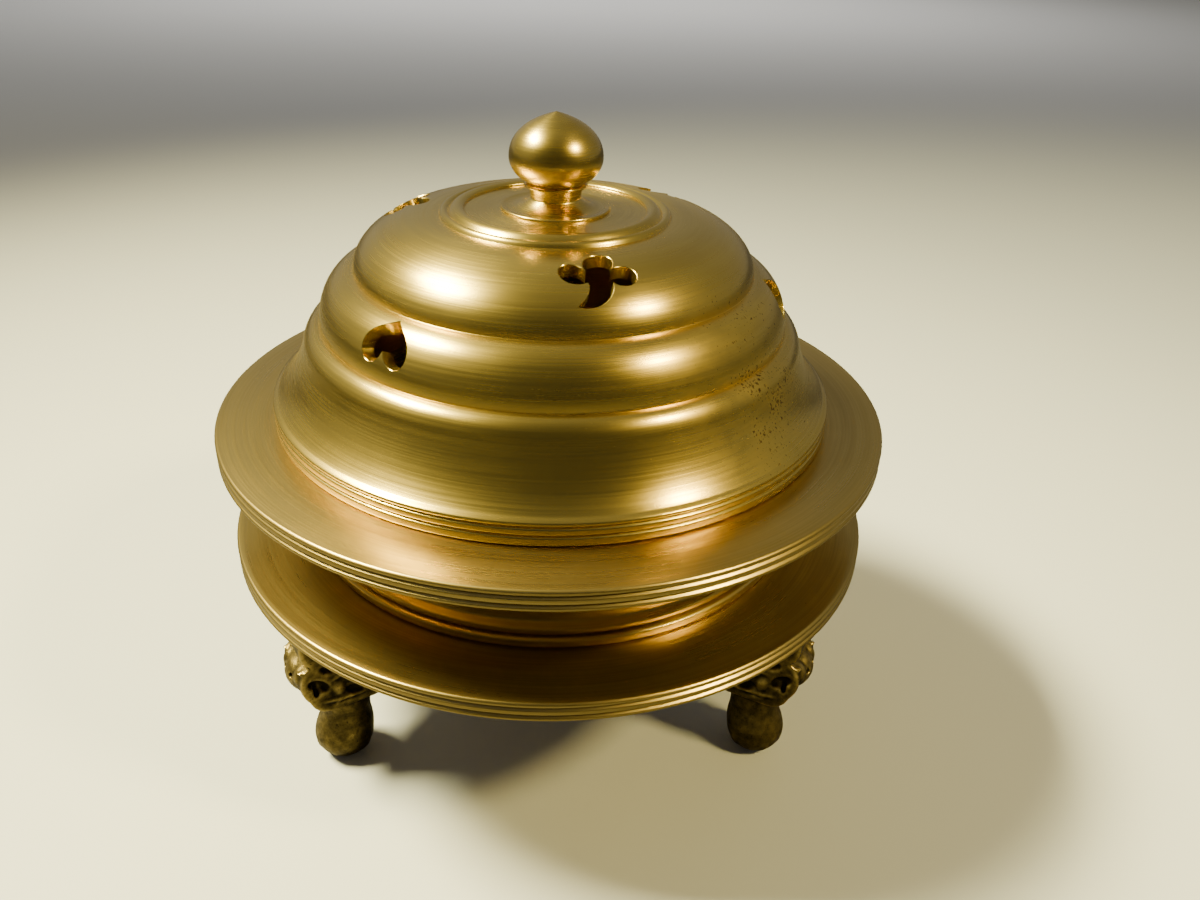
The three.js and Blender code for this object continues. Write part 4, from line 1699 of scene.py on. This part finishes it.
    def sculpt(self) -> bpy.types.Mesh:
        """Models the leg about its own upright axis.

        Returns:
            The leg in millimetres, with its relief measured at each point.
        """
        solid = [self.head_block(), self.paw_form()]
        for lump in (*self.swellings, *self.toes):
            solid.extend(lump.forms())
        cuts = []
        for lump in self.hollows:
            cuts.extend(lump.forms())
        remesh = {"kind": "REMESH", "mode": "VOXEL", "voxel_size": self.voxel}
        hollow = Bench("hollows", join("hollows", cuts)).modify(**remesh)
        bench = Bench("leg", join("leg", solid)).modify(**remesh)
        bench.bake().carve(hollow.bake().take())
        bench.modify(**remesh).modify("SMOOTH", factor=0.5, iterations=self.smoothings)
        return bench.bake().take()

    def fit(self, leg: bpy.types.Mesh) -> bpy.types.Mesh:
        """Cuts the leg to the basin, the table and its screw.

        Args:
            leg: The sculpted leg about its own axis.

        Returns:
            The leg at azimuth 0.
        """
        leg.transform(Matrix.Translation((self.radius, 0, 0)))
        bench = Bench("leg", leg)
        bench.carve(as_mesh("room", self.basin.room(self.gap)))
        bench.carve(as_mesh("hole", self.basin.screw_cutter(0)))
        trimmed = bmesh.new()
        mesh = bench.take()
        trimmed.from_mesh(mesh)
        whole = trimmed.verts[:] + trimmed.edges[:] + trimmed.faces[:]
        cut = bmesh.ops.bisect_plane(
            trimmed, geom=whole, plane_co=AXIS * self.sole_trim, plane_no=AXIS, clear_inner=True)
        sole = bmesh.ops.extrude_edge_only(trimmed, edges=only(cut["geom_cut"], Edge))["geom"]
        for corner in only(sole, Corner):
            corner.co.z = 0.0
        bmesh.ops.holes_fill(trimmed, edges=only(sole, Edge), sides=0)
        bmesh.ops.recalc_face_normals(trimmed, faces=trimmed.faces)
        trimmed.to_mesh(mesh)
        trimmed.free()
        return mesh

    def measure_relief(self, mesh: bpy.types.Mesh) -> None:
        """Stores how far each point stands out from the smoothed form.

        Args:
            mesh: The leg, which gains an attribute from 0 in hollows to 1 on high spots.
        """
        relief = [0.5] * len(mesh.vertices)
        for rounds, depth in self.relief_scales:
            smooth = bmesh.new()
            smooth.from_mesh(mesh)
            for _ in range(rounds):
                bmesh.ops.smooth_vert(
                    smooth, verts=smooth.verts, factor=0.5,
                    use_axis_x=True, use_axis_y=True, use_axis_z=True)
            smooth.verts.ensure_lookup_table()
            for point in mesh.vertices:
                rise = (point.co - smooth.verts[point.index].co).dot(point.normal)
                relief[point.index] += 0.25 * max(-1.0, min(1.0, rise / depth))
            smooth.free()
        layer = mesh.attributes.new("relief", "FLOAT", "POINT")
        layer.data.foreach_set("value", relief)

    def build(self) -> None:
        """Casts the three legs from one sculpted form."""
        leg = self.fit(self.sculpt())
        self.measure_relief(leg)
        for node, azimuth in LEG_AZIMUTHS.items():
            mesh = leg.copy()
            mesh.transform(upright_turn(azimuth))
            deliver(Ticket(f"cast_{node}", node, Body.BASE, Slot.CAST), mesh, (CAST,))
        bpy.data.meshes.remove(leg)


@dataclass
class LegScrew:
    """The round-headed screw that holds a leg from inside the bowl."""

    basin: Basin
    head_seat: float = 38.3
    shank_radius: float = 1.5
    head_radius: float = 3.0
    head_thickness: float = 1.6
    head_swell: float = 0.5
    reach: float = 7.0
    slot_width: float = 0.8
    slot_depth: float = 0.7
    slot_length: float = 7.2
    slot_rise: float = 0.2

    def build(self) -> None:
        """Turns the screws and cuts their slots."""
        outline = Outline(0, -self.head_thickness)
        outline.arc(self.head_radius, 0, self.head_swell, 12, soft=0.15)
        outline.to((self.shank_radius, 0), soft=0.05)
        outline.to((self.shank_radius, self.reach), soft=0.3).to((0, self.reach), soft=0)
        for node, azimuth in LEG_AZIMUTHS.items():
            slot = bmesh.new()
            bmesh.ops.create_cube(slot, size=1)
            slot.transform(Matrix.Diagonal((self.slot_width, self.slot_length, 2 * self.slot_depth, 1)))
            slot.transform(Matrix.Translation(AXIS * (-self.head_thickness - self.slot_rise)))
            form = outline.turned(SMALL_TURNING_STEPS, closed=False)
            mesh = Bench("screw", as_mesh("screw", form)).carve(as_mesh("slot", slot)).take()
            mesh.transform(lying_at(azimuth, self.head_seat, self.basin.screw_height))
            ticket = Ticket(f"{node}_round_screw", f"{node}_screw", Body.BASE, Slot.DULL)
            deliver(ticket, mesh, (FASTENER,))


# Studio


@dataclass(frozen=True)
class SoftBox:
    """A soft light that hangs in a direction from the point that it faces, and lights a cone round it."""

    name: str
    way: Triple
    distance: float
    width: float
    height: float
    power: float
    colour: Colour
    spread: float = math.radians(70)
    aim: Triple = (0.0, 0.0, 0.08)

    def hang(self) -> None:
        """Hangs the light and aims it."""
        lamp = bpy.data.lights.new(self.name, "AREA")
        lamp.shape = "RECTANGLE"
        lamp.size = self.width
        lamp.size_y = self.height
        lamp.spread = self.spread
        lamp.energy = self.power
        lamp.color = self.colour
        box = stand(self.name, lamp)
        way = Vector(self.way).normalized()
        box.location = Vector(self.aim) + way * self.distance
        box.rotation_euler = (-way).to_track_quat("-Z", "Y").to_euler()


@dataclass
class Studio:
    """The pale floor, the soft lights and the camera."""

    floor_size: float = 6.0
    floor_colour: Colour = (0.7, 0.69, 0.67)
    # Painted shade: the floor as the brass reflects it, much darker than the camera sees it.
    floor_shade_in_reflections: Colour = (0.09, 0.088, 0.085)
    floor_roughness: float = 0.55
    front_colour: Colour = (0.05, 0.048, 0.045)
    back_colour: Colour = (0.23, 0.225, 0.20)
    back_way: Triple = (0.0, 1.0, 0.0)
    back_fade: Pair = (-0.95, 0.15)
    glow_colour: Colour = (0.37, 0.37, 0.34)
    glow_way: Triple = (-0.43, 0.72, 0.54)
    glow_fade: Pair = (0.68, 1.0)
    lights: Sequence[SoftBox] = (
        SoftBox("key", (-0.60, 0.10, 0.79), 0.8, 0.30, 0.16, 5.4, (1.0, 0.93, 0.48)),
        SoftBox("warm", (0.63, -0.38, 0.67), 0.8, 0.10, 0.10, 0.42, (1.0, 0.82, 0.30), math.radians(45)),
        SoftBox(
            "wash", (0, 0, 1), 1.0, 1.4, 1.0, 6.0, (1.0, 0.99, 0.97), math.radians(90), (0.0, 1.6, 0.0)),
    )
    eye: Vector = field(default_factory=lambda: Vector((-0.00178, -0.16641, 0.14899)))
    heading: float = math.radians(3.72)
    pitch: float = math.radians(29.61)
    roll: float = math.radians(2.07)
    focal_pixels: float = 986.23
    image_width: float = 1200.0
    sensor: float = 36.0
    nearest: float = 0.01

    def build_floor(self) -> None:
        """Lays the floor under the feet, with painted shade: darker to the brass than to the camera."""
        form = bmesh.new()
        bmesh.ops.create_grid(form, x_segments=1, y_segments=1, size=self.floor_size / 2)
        mesh = as_mesh("floor", form)
        floor = stand("floor", mesh)
        coat = bpy.data.materials.new("pale_floor")
        coat.use_nodes = True
        shader = coat.node_tree.nodes["Principled BSDF"]
        board = Board(coat.node_tree)
        # Painted shade: glossy rays see the dark floor colour, the camera sees the pale one.
        mirrored = board.add("ShaderNodeLightPath", {}, "Is Glossy Ray")
        colour = board.blend(mirrored, self.floor_colour, self.floor_shade_in_reflections)
        board.feed(shader.inputs["Base Color"], colour)
        shader.inputs["Roughness"].default_value = self.floor_roughness
        mesh.materials.append(coat)

    def build_room(self) -> None:
        """Fills the room with light: dark in front, paler behind, and palest behind on the left."""
        world = bpy.data.worlds.new("room")
        world.use_nodes = True
        board = Board(world.node_tree)
        way = board.add("ShaderNodeTexCoord", {}, "Generated")
        colour = self.front_colour
        back = (self.back_way, self.back_fade, self.back_colour)
        glow = (self.glow_way, self.glow_fade, self.glow_colour)
        for side, fade, paler in (back, glow):
            facing = board.vector("DOT_PRODUCT", {0: way, 1: side}, "Value")
            colour = board.blend(board.ramp(facing, *fade), colour, paler)
        board.feed(world.node_tree.nodes["Background"].inputs["Color"], colour)
        bpy.context.scene.world = world

    def build_camera(self) -> None:
        """Puts the camera at the photograph's place and angle."""
        ahead = Vector((math.sin(self.heading), math.cos(self.heading), 0))
        right = Vector((math.cos(self.heading), -math.sin(self.heading), 0))
        forward = ahead * math.cos(self.pitch) - AXIS * math.sin(self.pitch)
        above = ahead * math.sin(self.pitch) + AXIS * math.cos(self.pitch)
        x_axis = right * math.cos(self.roll) + above * math.sin(self.roll)
        y_axis = above * math.cos(self.roll) - right * math.sin(self.roll)
        lens = bpy.data.cameras.new("camera")
        lens.sensor_width = self.sensor
        lens.lens = self.focal_pixels / self.image_width * self.sensor
        lens.clip_start = self.nearest
        camera = stand("camera", lens)
        turn = Matrix((x_axis, y_axis, -forward)).transposed().to_4x4()
        camera.matrix_world = Matrix.Translation(self.eye) @ turn
        bpy.context.scene.camera = camera

    def build(self) -> None:
        """Lays the floor, hangs the lights and sets up the camera."""
        self.build_floor()
        self.build_room()
        for light in self.lights:
            light.hang()
        self.build_camera()


def main() -> None:
    logging.basicConfig(level=logging.INFO)
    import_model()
    basin = Basin()
    lid = Lid()
    for piece in (basin, MiddleRing(), lid, Knob(lid), BeastLeg(basin), LegScrew(basin), Studio()):
        piece.build()
        log.info("built %s", type(piece).__name__)


if __name__ == "__main__":
    main()
